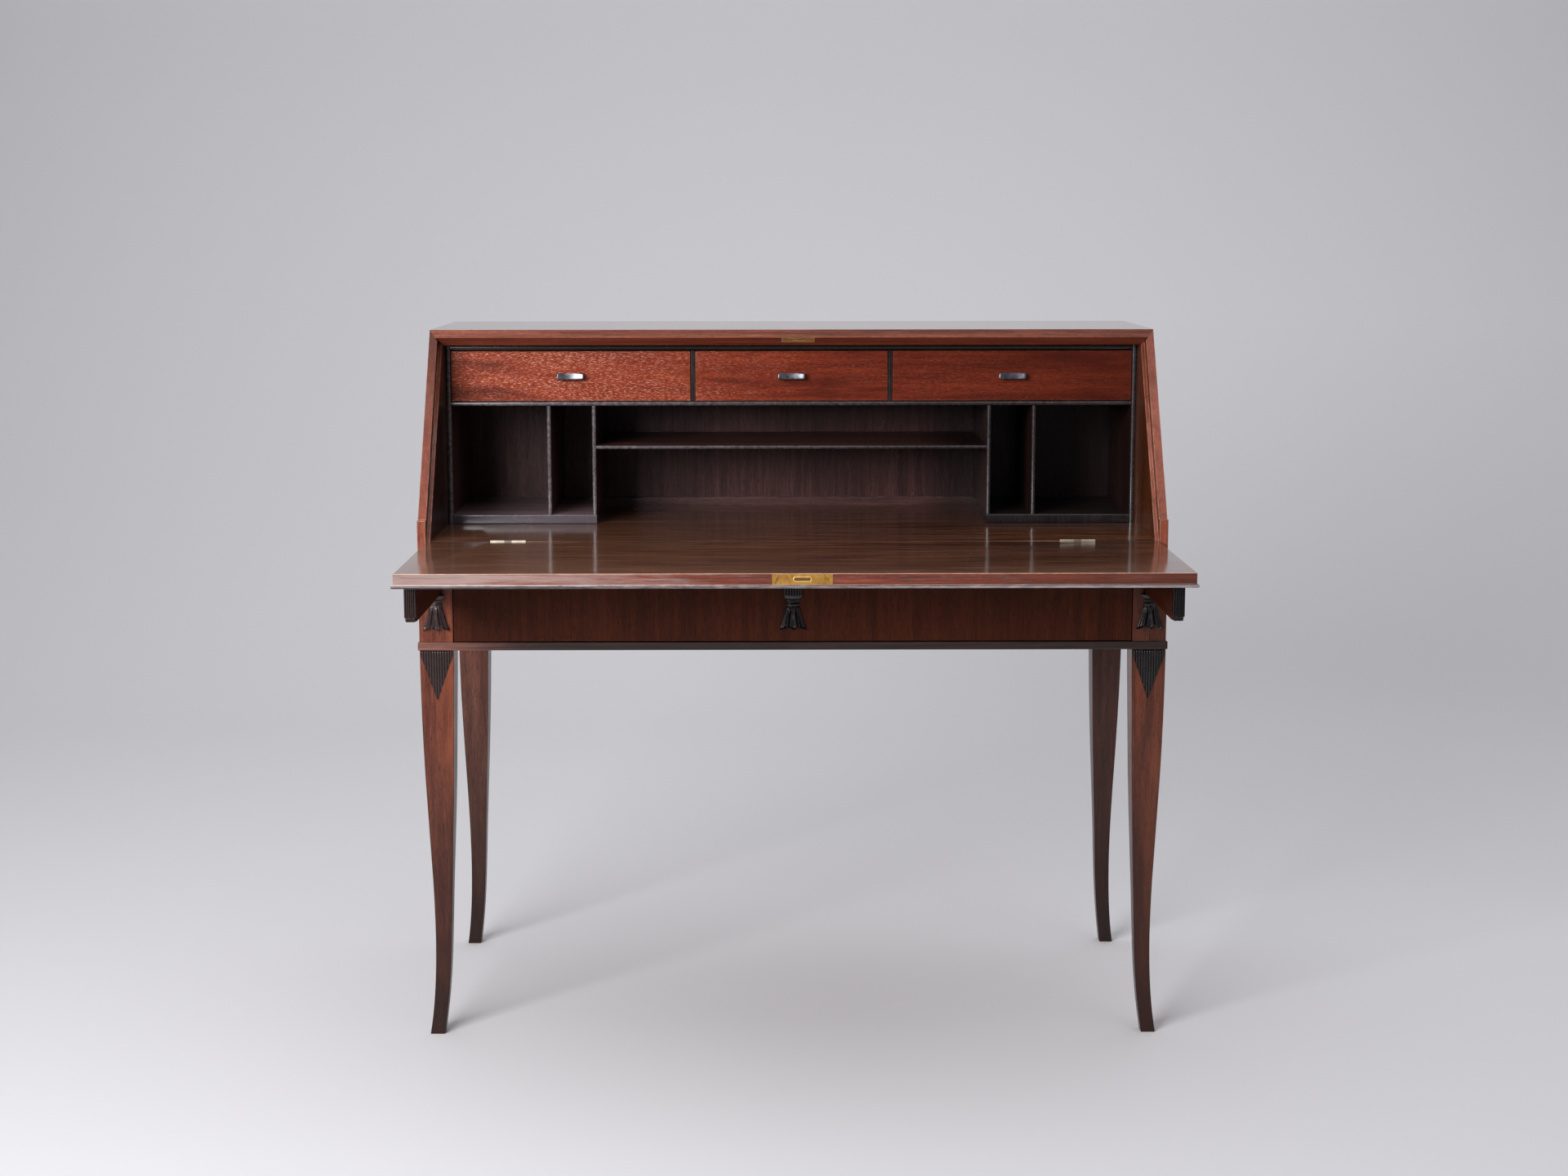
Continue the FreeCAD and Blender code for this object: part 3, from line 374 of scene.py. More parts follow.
def ebony(worn=False):
    """Black-stained wood under polish.

    The last argument is True for edges rubbed grey with small knocks, more so towards the left with a painted
    highlight, and "front" for fronts lighter at the left with a painted sheen; without it the wood is lighter at the
    far left with painted light."""
    key = "ebonised_front" if worn == "front" else "ebonised_edge" if worn else "ebonised_wood"
    if key in made:
        return made[key]
    shade = Shade(key)
    fibres = shade.noise((420, 420, 26), 3.0, 0.6, 0.2)
    cloud = shade.noise((22, 22, 22), 5.0, 0.65, 0.2)
    colour = shade.ramp(fibres, [(0.35, linear(11, 8, 9)), (0.55, linear(22, 16, 18)), (0.8, linear(42, 32, 33))])
    colour = shade.mix(shade.span(cloud, 0.52, 0.75, 0.0, 0.4), colour, linear(50, 34, 32))
    if not worn:
        # Painted light: lighter at the far left.
        painted_light_left = shade.span(shade.axis("X"), -0.54, -0.3, 0.3, 0.0)
        colour = shade.mix(painted_light_left, colour, linear(88, 64, 62))
    if worn == "front":
        # Painted sheen: lighter towards the left.
        painted_light_left = shade.span(shade.axis("X"), -0.5, 0.3, 0.8, 0.0)
        colour = shade.mix(painted_light_left, colour, linear(92, 82, 91))
    elif worn:
        rubbed = shade.noise((150, 150, 150), 6.0, 0.72, 0.4)
        knocks = shade.noise((130, 130, 130), 3.0, 0.5, 0.2, (5.0, 1.0, 2.0))
        # Painted highlight: the rubbed grey stronger towards the left.
        leftward = shade.span(shade.axis("X"), -0.5, 0.2, 0.9, 0.15)
        rubbed_and_highlight = shade.maths("MULTIPLY", shade.span(rubbed, 0.4, 0.66, 0.2, 0.8), leftward)
        share = shade.maths("ADD", rubbed_and_highlight, shade.span(knocks, 0.7, 0.76, 0.0, 0.45))
        colour = shade.mix(shade.span(share, 0.0, 1.0), colour, linear(150, 140, 146))
    shade.set(base_color=colour, roughness=shade.span(cloud, 0.3, 0.7, 0.2, 0.32))
    shade.set(specular_ior_level=0.5 if worn else 0.36, coat_weight=0.6 if worn else 0.42, coat_roughness=0.1)
    shade.bump(shade.maths("MULTIPLY_ADD", cloud, 0.3, fibres), 0.12 * MM, 0.25)
    made[key] = shade.material
    return shade.material


def lip_finish(crest):
    """The black lip of the fall, rubbed and grey towards the right with a painted reflection; its crest is rubbed and
    white at the left with a painted highlight.
    """
    shade = Shade("lip_crest" if crest else "lip_black")
    rubbed = shade.noise((34, 34, 300), 6.0, 0.72, 0.3, (1.2, 4.0, 0.3))
    across = shade.axis("X")
    if crest:
        # Painted highlight: the crest lighter brown at the left and rubbed white there.
        colour = shade.mix(shade.span(across, -0.1, 0.4), linear(120, 66, 52), linear(40, 20, 15))
        pale = shade.maths("ADD", rubbed, shade.span(across, -0.5, 0.2, 0.16, -0.14))
        colour = shade.mix(shade.span(pale, 0.42, 0.64, 0.0, 0.9), colour, linear(214, 194, 192))
    else:
        # Painted reflection: the lip grey, more so towards the right, over the rubbing.
        grey = shade.maths("ADD", rubbed, shade.span(across, -0.5, 0.35, -0.18, 0.16))
        colour = shade.mix(shade.span(grey, 0.36, 0.72, 0.04, 0.95), linear(42, 34, 38), linear(156, 146, 148))
    shade.set(base_color=colour, roughness=shade.span(rubbed, 0.3, 0.7, 0.28, 0.42), specular_ior_level=0.4)
    shade.set(coat_weight=0.4, coat_roughness=0.18)
    shade.bump(rubbed, 0.2 * MM, 0.5)
    return shade.material


def moulding_finish(letter):
    """The bead under the frieze: black stain over mahogany, lighter and red-brown at the left end."""
    shade = Shade(f"moulding_{letter.lower()}")
    streaks = shade.noise(along(letter, 6, 240), 4.0, 0.6, 0.2)
    cloud = shade.noise((7, 40, 40), 5.0, 0.65, 0.3, (2.0, 1.0, 0.5))
    stain = shade.ramp(streaks, [(0.35, linear(34, 23, 20)), (0.6, linear(54, 38, 34)), (0.8, linear(72, 53, 47))])
    left_tone = shade.ramp(streaks, [(0.35, linear(92, 54, 45)), (0.6, linear(134, 86, 74)), (0.8, linear(178, 128, 112))])
    side = shade.span(shade.axis("X"), -0.5, -0.36, 1.0, 0.0)
    share = shade.maths("ADD", shade.span(cloud, 0.45, 0.7, -0.2, 0.3), side)
    colour = shade.mix(shade.span(share, 0.0, 1.0), stain, left_tone)
    shade.set(base_color=colour, roughness=shade.span(cloud, 0.3, 0.7, 0.36, 0.5), specular_ior_level=0.3)
    shade.set(coat_weight=0.3, coat_roughness=0.22)
    shade.bump(streaks, 0.2 * MM, 0.5)
    return shade.material


def metal(key, base, stain, smooth, rough, metallic=0.85):
    """Old metal with tarnish in soft patches and fine rubbing marks."""
    shade = Shade(key)
    patches = shade.noise((70, 70, 70), 6.0, 0.7, 0.6)
    marks = shade.noise((90, 900, 900), 3.0, 0.6)
    colour = shade.mix(shade.span(patches, 0.42, 0.68, 0.0, 0.85), linear(*base), linear(*stain))
    shade.set(base_color=colour, metallic=metallic, roughness=shade.span(patches, 0.3, 0.7, smooth, rough))
    shade.bump(shade.maths("MULTIPLY_ADD", marks, 0.5, patches), 0.1 * MM, 0.6)
    return shade.material


def lacquer():
    """Dark polished metal of the small pulls, with hair-fine scratches."""
    shade = Shade("pull_black")
    scratches = shade.noise((60, 900, 900), 4.0, 0.7, 0.2)
    cloud = shade.noise((120, 120, 120), 4.0, 0.6)
    colour = shade.ramp(cloud, [(0.35, linear(88, 88, 96)), (0.7, linear(122, 122, 130))])
    shade.set(base_color=colour, metallic=0.9, roughness=shade.span(cloud, 0.3, 0.7, 0.26, 0.34))
    shade.bump(scratches, 0.03 * MM, 0.4)
    return shade.material


HINGE_HALF = 26 * MM


def hinge_metal():
    """Pale leaf metal, grey on the middle knuckle of each hinge and duller at the right."""
    shade = Shade("hinge_metal")
    patches = shade.noise((90, 90, 90), 5.0, 0.7, 0.4)
    colour = shade.mix(shade.span(patches, 0.42, 0.68, 0.0, 0.8), linear(206, 196, 178), linear(150, 138, 120))
    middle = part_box("hinge_pins")[1].x - HINGE_HALF
    off = shade.maths("ABSOLUTE", shade.maths("SUBTRACT", shade.maths("ABSOLUTE", shade.axis("X")), middle))
    colour = shade.mix(shade.span(off, 4.5 * MM, 6.5 * MM, 0.9, 0.0), colour, linear(96, 88, 80))
    colour = shade.mix(shade.span(shade.axis("X"), -0.2, 0.2, 0.0, 0.5), colour, linear(104, 94, 80))
    shade.set(base_color=colour, metallic=0.5, roughness=shade.span(patches, 0.3, 0.7, 0.36, 0.5))
    shade.bump(patches, 0.1 * MM, 0.5)
    return shade.material


brass = metal("aged_brass", (204, 156, 76), (124, 82, 34), 0.32, 0.55, 0.75)
screw_brass = metal("screw_brass", (168, 120, 54), (112, 76, 32), 0.36, 0.55, 0.6)
dull_brass = metal("dull_brass", (206, 160, 104), (146, 106, 66), 0.36, 0.55, 0.3)
# Pale brass for the lock's bead: rubbed, and lighter with a painted highlight.
highlight_brass = metal("rubbed_brass", (246, 214, 136), (206, 160, 84), 0.3, 0.44, 0.45)
# Dark brass for the bolt in the lock's mouth: painted shade.
mouth_brass = metal("mouth_brass", (112, 72, 36), (74, 46, 24), 0.4, 0.6, 0.4)
steel = metal("grey_steel", (126, 120, 112), (84, 76, 68), 0.36, 0.52)
pull_black = lacquer()


# Shapes

def dress_up(name, mesh, body, materials, stands_for):
    """Make a mesh a piece that rides on a body and stands for the named nodes."""
    for material in materials:
        mesh.materials.append(material)
    work = bmesh.new()
    work.from_mesh(mesh)
    bmesh.ops.recalc_face_normals(work, faces=work.faces)
    work.to_mesh(mesh)
    work.free()
    mesh.shade_smooth()
    mesh.set_sharp_from_angle(angle=math.radians(50))
    obj = bpy.data.objects.new(name, mesh)
    scene.collection.objects.link(obj)
    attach(obj, body)
    if stands_for:
        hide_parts(*stands_for)
    return obj


def piece(name, shape, body, materials, stands_for=()):
    verts, faces = shape
    mesh = bpy.data.meshes.new(name)
    mesh.from_pydata([tuple(v) for v in verts], [], faces)
    mesh.validate()
    return dress_up(name, mesh, body, materials, stands_for)


def repaint(obj, rule):
    """Give faces another material: rule takes a face and returns its index, or None to leave it."""
    for polygon in obj.data.polygons:
        index = rule(polygon)
        if index is not None:
            polygon.material_index = index


def body_of(node):
    return nodes[node]["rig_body"]


def welded(node):
    """A node's mesh with its corners joined and its flat faces made whole."""
    work = bmesh.new()
    work.from_mesh(nodes[node].data)
    bmesh.ops.remove_doubles(work, verts=work.verts, dist=0.004 * MM)
    bmesh.ops.dissolve_limit(work, angle_limit=math.radians(0.4), verts=work.verts, edges=work.edges)
    return work


def sharp(edge, least):
    return len(edge.link_faces) == 2 and edge.calc_face_angle(0.0) > math.radians(30) and edge.calc_length() > least


def eased(node, materials, rounds, least=6.0):
    """A node with its arrises eased; the second material is the edge tone along them, rubbed, with painted highlight
    on the fall and painted shade on the legs.

    Each round is a width, a count of segments and a test of the edges it takes."""
    work = welded(node)
    for width, segments, takes in rounds:
        edges = [e for e in work.edges if sharp(e, least * MM) and takes(e)]
        bmesh.ops.bevel(
            work,
            geom=edges,
            offset=width * MM,
            offset_type="OFFSET",
            segments=segments,
            profile=0.5,
            affect="EDGES",
            clamp_overlap=True,
            material=1,
        )
    mesh = bpy.data.meshes.new(f"{node}_eased")
    work.to_mesh(mesh)
    work.free()
    obj = dress_up(f"{node}_eased", mesh, body_of(node), materials, (node,))
    obj.modifiers.new("even_shading", "WEIGHTED_NORMAL").keep_sharp = True
    return obj


def every(edge):
    return True


def paint(node, *materials):
    """A node whose shape is right keeps it and takes a finish."""
    mesh = nodes[node].data
    mesh.materials.clear()
    for material in materials:
        mesh.materials.append(material)


def islands(node):
    """The lowest and highest corner of each separate solid of a node."""
    work = welded(node)
    left = set(work.verts)
    boxes = []
    while left:
        group = [left.pop()]
        reach = list(group)
        while reach:
            for edge in reach.pop().link_edges:
                for vert in edge.verts:
                    if vert in left:
                        left.remove(vert)
                        group.append(vert)
                        reach.append(vert)
        low = [min(v.co[k] for v in group) for k in range(3)]
        high = [max(v.co[k] for v in group) for k in range(3)]
        boxes.append((low, high))
    work.free()
    return sorted(boxes)


def nosed(node, flat, edge, thin, nose=1.0, corner=None):
    """Boards with a rounded front edge: thin is the axis of their thickness, X or Z.

    The nose is round, or with a corner radius flat between two rounded corners."""
    verts, faces, tints = [], [], []
    steps = 5
    for low, high in islands(node):
        t = "XZ".index(thin) * 2
        run = 2 - t
        middle = (low[t] + high[t]) / 2
        half = (high[t] - low[t]) / 2
        radius = corner * MM if corner else half
        section = [(high[1], -half, 0)]
        for sign in (-1, 1):
            for step in range(steps + 1):
                turn = math.pi / 2 * (step / steps if sign < 0 else 1 - step / steps)
                depth = radius * (1 if corner else nose)
                y = low[1] + depth - depth * math.sin(turn)
                offset = sign * (half - radius + radius * math.cos(turn))
                section.append((y, offset, 0 if corner and sign < 0 else 1))
        section.append((high[1], half, 0))
        start = len(verts)
        for end in (low[run], high[run]):
            for y, offset, tint in section:
                point = [0.0, y, 0.0]
                point[t] = middle + offset
                point[run] = end
                verts.append(point)
        count = len(section)
        for k in range(count):
            following = (k + 1) % count
            faces.append((start + k, start + following, start + count + following, start + count + k))
            tints.append(min(section[k][2], section[following][2]))
        faces.append(tuple(range(start, start + count)))
        faces.append(tuple(range(start + 2 * count - 1, start + count - 1, -1)))
        tints += [0, 0]
    obj = piece(f"{node}_nosed", (verts, faces), body_of(node), [flat, edge], (node,))
    for polygon, tint in zip(obj.data.polygons, tints):
        polygon.material_index = tint
    return obj


def relief(point, back, columns, rows):
    """A closed carved panel: point(u, v) is its front, u and v from 0 to 1, and back its depth behind."""
    verts, faces = [], []
    for depth in (None, back):
        for j in range(rows + 1):
            for i in range(columns + 1):
                x, y, z = point(i / columns, j / rows)
                verts.append((x, y if depth is None else depth, z))
    width = columns + 1
    layer = width * (rows + 1)
    for j in range(rows):
        for i in range(columns):
            a = j * width + i
            quad = (a, a + 1, a + width + 1, a + width)
            faces.append(quad)
            faces.append(tuple(layer + k for k in reversed(quad)))
    rim = [i for i in range(width)]
    rim += [j * width + columns for j in range(1, rows + 1)]
    rim += [rows * width + i for i in range(columns - 1, -1, -1)]
    rim += [j * width for j in range(rows - 1, 0, -1)]
    for a, b in zip(rim, rim[1:] + rim[:1]):
        faces.append((b, a, layer + a, layer + b))
    return verts, faces


def joined(*parts):
    verts, faces = [], []
    for some_verts, some_faces in parts:
        start = len(verts)
        verts += some_verts
        faces += [tuple(start + k for k in face) for face in some_faces]
    return verts, faces


def curve(value, table):
    """The value between the points of a table."""
    if value <= table[0][0]:
        return table[0][1]
    for (x0, y0), (x1, y1) in zip(table, table[1:]):
        if value <= x1:
            return y0 + (y1 - y0) * (value - x0) / (x1 - x0)
    return table[-1][1]


def hump(value, middle, width):
    return math.exp(-(((value - middle) / width) ** 2))


# Carved bell, in millimetres above the petal tips: half width, relief, and how far its carving shows.
BELL_HALF = [
    (0, 19.8), (1.8, 18.9), (3.6, 18.0), (8, 16.3), (12.1, 14.9), (18, 13.2), (23.6, 11.8), (30.7, 10.3), (34, 9.5),
    (35.6, 8.7), (36.3, 8.7), (36.8, 9.3), (37.6, 9.6), (38.4, 9.3), (38.9, 8.5), (43.6, 8.3), (44.2, 8.7),
    (45.4, 9.8), (47, 11.3), (49, 12.6), (51, 13.2), (52, 13.3),
]
BELL_RELIEF = [
    (0, 8.4), (4, 7.8), (14, 7.2), (26, 6.6), (32, 6.0), (35.4, 4.8), (36.3, 4.9), (37.0, 6.2), (37.6, 6.5),
    (38.3, 6.2), (39, 3.4), (43.0, 3.0), (44.4, 4.6), (46, 6.6), (48.5, 7.4), (51, 7.9), (52, 7.6),
]
BELL_PETALS = [(0, 1.0), (24, 0.9), (33, 0.3), (35.5, 0.0), (52, 0.0)]
BELL_MIDDLE_HOLLOW = [(0, 0.0), (4, 1.0), (16, 1.0), (22, 0.2), (34, 0.0)]
BELL_SIDE_HOLLOW = [(0, 0.1), (4, 1.0), (20, 0.8), (32, 0.0)]
BELL_NOTCH = 5.4
BELL_NOTCH_PLACE = 0.46
BELL_TALL = 52.0
BELL_LEAST = 0.7
# How far a carved piece runs into the face that it is planted on.
SEAT = 0.4 * MM


def bell(middle, face, foot):
    """A hanging bell of three petals, with a ring at its neck and a flared collar."""

    def point(u, v):
        across = u * 2 - 1
        side = abs(across)
        if side < BELL_NOTCH_PLACE:
            lift = BELL_NOTCH * (side / BELL_NOTCH_PLACE) ** 0.85
        else:
            lift = BELL_NOTCH * (1 - ((side - BELL_NOTCH_PLACE) / (1 - BELL_NOTCH_PLACE)) ** 0.6)
        height = lift + v * (BELL_TALL - lift)
        half = curve(height, BELL_HALF)
        out = curve(height, BELL_RELIEF)
        petals = curve(height, BELL_PETALS)
        out *= math.sqrt(max(0.0, 1 - (0.82 * across) ** 2))
        seam = 0.46 - 0.0035 * height
        out -= petals * 2.4 * hump(side, seam, 0.07)
        out += petals * 0.9 * (hump(side, seam - 0.15, 0.06) + hump(side, seam + 0.15, 0.07))
        out -= petals * 1.2 * hump(across, 0.0, 0.14) * curve(height, BELL_MIDDLE_HOLLOW)
        out -= petals * 1.0 * hump(side, 0.8, 0.12) * curve(height, BELL_SIDE_HOLLOW)
        out += 1.3 * hump(height, lift, 1.6) * petals
        return middle + across * half * MM, face - max(out, BELL_LEAST) * MM, foot + height * MM

    return relief(point, face + SEAT, 64, 92)


def reeds(left, right, count, foot, head, crest, deep, round_head=1.5, lean=None):
    """Upright half-round reeds side by side; foot and head give the lower and upper end at a place across."""

    def point(u, v):
        x = left + u * (right - left)
        share = (u * count) % 1.0 if u < 1 else 1.0
        ridge = math.sqrt(max(0.0, 1 - (2 * share - 1) ** 2))
        low, high = foot(x), head(x) - round_head * MM * (1 - ridge)
        z = low + v * (high - low)
        end = min(1.0, max(0.0, (high - z) / (round_head * 1.3 * MM)))
        ridge *= math.sqrt(max(0.0, 1 - (1 - end) ** 2))
        y = crest + deep * MM * (1 - ridge)
        if lean:
            y += lean(z)
        return x, y, z

    return point


def stadium(middle_x, middle_z, half_x, half_z, tube, at):
    """A raised bead round a slot: at(a, b, n) places along, up and out of the plate."""
    turns, ring = 40, 10
    verts, faces = [], []
    straight = half_x - half_z
    for k in range(turns):
        angle = 2 * math.pi * k / turns
        c, s = math.cos(angle), math.sin(angle)
        shift = straight if c >= 0 else -straight
        for j in range(ring):
            bend = 2 * math.pi * j / ring
            reach = half_z + tube * math.cos(bend)
            verts.append(at(middle_x + shift + reach * c, middle_z + reach * s, tube * math.sin(bend)))
    for k in range(turns):
        for j in range(ring):
            a, b = k * ring + j, k * ring + (j + 1) % ring
            c, d = ((k + 1) % turns) * ring + j, ((k + 1) % turns) * ring + (j + 1) % ring
            faces.append((a, b, d, c))
    return verts, faces


# Boards and legs with eased arrises

def on_mitre(edge):
    """An edge of the slanting joint between the top and a side."""
    return any(abs(f.normal.x) > 0.3 and abs(f.normal.z) > 0.3 for f in edge.link_faces)


def whole(edge):
    return not on_mitre(edge)


def side_part(polygon):
    """Which finish a face of a case side takes: 2 its front strips, in lighter wood with painted light, 3 its inner
    face, in darker wood with painted shade.
    """
    if polygon.material_index:
        return None
    if polygon.normal.y < -0.3:
        return 2
    inward = polygon.normal.x * polygon.center.x < 0
    return 3 if inward and abs(polygon.normal.x) > 0.9 else None


legs_wood = [wood("mahogany", "Z"), wood("mahogany", "Z", True)]
for node in ("case_side_left", "case_side_right"):
    finishes = [wood("mahogany", "Z"), wood("mahogany_strip", "Z", True), wood("mahogany_strip", "Z"),
                wood("mahogany_cheek", "Z")]
    repaint(eased(node, finishes, [(0.7, 2, whole)]), side_part)
finishes = [wood("mahogany_top", "X"), wood("mahogany_band", "X", True), wood("mahogany_strip", "X"),
            wood("mahogany_band", "X")]
top = eased("case_top", finishes, [(0.8, 2, whole)], 60)
# The shoulder under the top's front band takes the lighter strip wood, a painted light; the band takes its own wood.
repaint(top, lambda p: (2 if p.normal.z < 0 else 3) if p.material_index == 0 and p.normal.y < -0.3 else None)

fall_low, fall_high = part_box("fall_board")
LIP_THICK = 4.6 * MM
LIP_PROUD = 3 * MM


def on_lip(edge):
    """An outer edge of the lip that runs round the fall's underside."""
    ends = [v.co for v in edge.verts]
    outer = all(abs(p.x) > fall_high.x - 0.5 * MM or p.y < fall_low.y + 0.5 * MM for p in ends)
    return outer and all(p.z < fall_low.z + LIP_THICK + 0.1 * MM for p in ends)


def fall_part(polygon):
    """Which finish a face of the fall takes.

    2 is its front and ends, 3 the lip, 4 the hinge side's arris, 5 the outer face and 6 the lip's crest."""
    centre, normal = polygon.center, polygon.normal
    outer = abs(centre.x) > fall_high.x - LIP_PROUD or centre.y < fall_low.y + LIP_PROUD
    if outer and centre.z < fall_low.z + LIP_THICK + 0.2 * MM:
        return 6 if normal.z > 0.6 else 3
    if polygon.material_index == 0 and abs(normal.z) < 0.5 and centre.y < fall_low.y + 5 * MM:
        return 2
    if polygon.material_index == 1 and centre.y > fall_high.y - 5 * MM:
        return 4
    return 5 if normal.z < -0.5 else None


fall = eased("fall_board",
             [wood("mahogany_fall", "X"), wood("mahogany_fall", "X", True), fall_front(), lip_finish(False),
              wood("mahogany_fall", "X", "ends"), wood("mahogany", "X"), lip_finish(True)],
             [(2.4, 4, on_lip), (1.6, 3, lambda e: not on_lip(e))], 100)
repaint(fall, fall_part)
eased("writing_bed", [wood("mahogany_fall", "X"), wood("mahogany_fall", "X", "ends")],
      [(0.6, 2, every)], 100)
for side in ("left", "right"):
    for end in ("front", "back"):
        finishes = legs_wood if end == "front" else [wood("mahogany_back", "Z"), wood("mahogany_back", "Z", True)]
        eased(f"leg_{end}_{side}", finishes, [(0.9, 2, every)], 1.0)
    eased(f"frieze_side_{side}", legs_wood, [(0.5, 2, every)])
    paint(f"loper_guide_{side}", wood("brown_oak", "Y"))
    eased(f"loper_{side}", [wood("mahogany_frieze", "Y"), wood("mahogany_frieze", "Y", True)],
          [(0.6, 2, every)], 30)
eased("frieze_drawer_front",
      [wood("mahogany_frieze", "Z"), wood("mahogany_frieze", "Z", True)], [(0.5, 2, every)])
for side in ("left", "centre", "right"):
    eased(f"drawer_{side}_front",
          [wood("mahogany_drawers", "X"), wood("mahogany_drawers", "X", True)], [(0.6, 2, every)])
    paint(f"drawer_{side}_box", wood("brown_oak", "Y"))
for node, letter in (("frieze_drawer_box", "Y"), ("drawer_runners", "Y"), ("bottom_rail_back", "X"),
                     ("frieze_back", "X")):
    paint(node, wood("brown_oak", letter))
paint("bottom_rail_front", wood("mahogany_frieze", "X"))
back = eased("case_back",
             [wood("mahogany_inside", "Z"), wood("mahogany_inside", "Z", True), wood("mahogany_back", "X")],
             [(0.5, 2, every)])
repaint(back, lambda p: 2 if p.normal.y > 0.5 else None)
for node, letter in (("moulding_front", "X"), ("moulding_sides", "Y")):
    finish = moulding_finish(letter)
    eased(node, [finish, finish], [(0.9, 3, every)], 2.0)

# Pigeonholes with rounded black fronts, rubbed and with a painted highlight towards the left
for side in ("left", "right"):
    nosed(f"unit_side_{side}", wood("mahogany_inside", "Z"), ebony(True), "X", 0.7)
    nosed(f"partitions_{side}", wood("mahogany_inside", "Z"), ebony(True), "X", 0.7)
    base = nosed(f"pigeonhole_base_{side}", ebony("front"), ebony(True), "Z", corner=1.5)
    # The floor of each hole takes the pale wood with a painted reflection.
    base.data.materials.append(wood("mahogany_floor", "X"))
    repaint(base, lambda p: 2 if p.normal.z > 0.95 else None)
nosed("unit_top", ebony(), ebony(), "Z", 0.5)
nosed("drawer_shelf", wood("mahogany_inside", "X"), ebony(True), "Z", 0.9)
nosed("centre_shelf", wood("mahogany_inside", "X"), ebony(True), "Z", 0.9)
nosed("drawer_dividers", ebony(), ebony(True), "X", corner=1.2)

# Carved bells on the posts and on the frieze drawer
for side in ("left", "right"):
    low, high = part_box(f"post_tassel_{side}")
    shape = bell((low.x + high.x) / 2, high.y, low.z)
    piece(f"post_bell_{side}", shape, "frame", [ebony()], (f"post_tassel_{side}",))

low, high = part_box("frieze_drawer_tassel")
CAPITAL_HALF = 13.6 * MM
CAPITAL_REEDS = 7
capital_foot = low.z + (BELL_TALL - 0.4) * MM


def capital_low(x):
    return capital_foot + 1.6 * MM * (abs(x) / CAPITAL_HALF) ** 6


capital = relief(
    reeds(-CAPITAL_HALF, CAPITAL_HALF, CAPITAL_REEDS, capital_low, lambda x: high.z, low.y + 0.2 * MM, 1.6),
    high.y + SEAT, CAPITAL_REEDS * 10, 30)
shape = joined(bell(0.0, high.y, low.z), capital)
piece("frieze_bell", shape, "frieze_drawer", [ebony()], ("frieze_drawer_tassel",))

# Reeded triangles let into the heads of the front legs
LEG_REEDS = 12
REED_SHOULDER = 8.5 * MM
for side in ("left", "right"):
    low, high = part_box(f"leg_reeds_{side}")
    middle = (low.x + high.x) / 2
    half = (high.x - low.x) / 2
    top = high.z - 1.0 * MM

    def reed_foot(x, low=low, top=top, middle=middle, half=half):
        share = min(1.0, abs(x - middle) / half)
        return low.z + share * (top - REED_SHOULDER - low.z)

    def reed_lean(z, low=low, high=high):
        return 0.75 * MM * max(0.0, (high.z - z) / (high.z - low.z)) ** 1.5

    front = reeds(low.x, high.x, LEG_REEDS, reed_foot, lambda x, top=top: top, low.y - 0.3 * MM, 1.4, 1.9, reed_lean)
    shape = relief(front, high.y, LEG_REEDS * 10, 40)
    piece(f"leg_reeding_{side}", shape, "frame", [ebony()], (f"leg_reeds_{side}",))

# Reeded ends of the lopers
CAP_REEDS = 6
CAP_FOOT = 6 * MM
CAP_INSET = 2 * MM
for side in ("left", "right"):
    low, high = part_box(f"loper_cap_{side}")
    neck = low.z + CAP_FOOT
    top = high.z
    block = relief(
        reeds(low.x, high.x, CAP_REEDS, lambda x, z=neck: z, lambda x, z=top: z, low.y, 1.8, 0.6), high.y,
        CAP_REEDS * 10, 24)
    foot = relief(
        reeds(low.x + CAP_INSET, high.x - CAP_INSET, CAP_REEDS, lambda x, z=low.z: z,
              lambda x, z=neck: z + 0.3 * MM, low.y + 1.4 * MM, 1.2, 0.1),
        high.y, CAP_REEDS * 8, 6)
    piece(f"loper_end_{side}", joined(block, foot), f"loper_{side}", [ebony()], (f"loper_cap_{side}",))


# Small pulls: a bar with a hollowed, slightly upturned front on a stem
LEAN = 0.14
BAR_THICK = 7 * MM
BAR_DISH = 2.2 * MM
STEM_HALF_WIDE = 7 * MM
STEM_HALF_TALL = 3 * MM


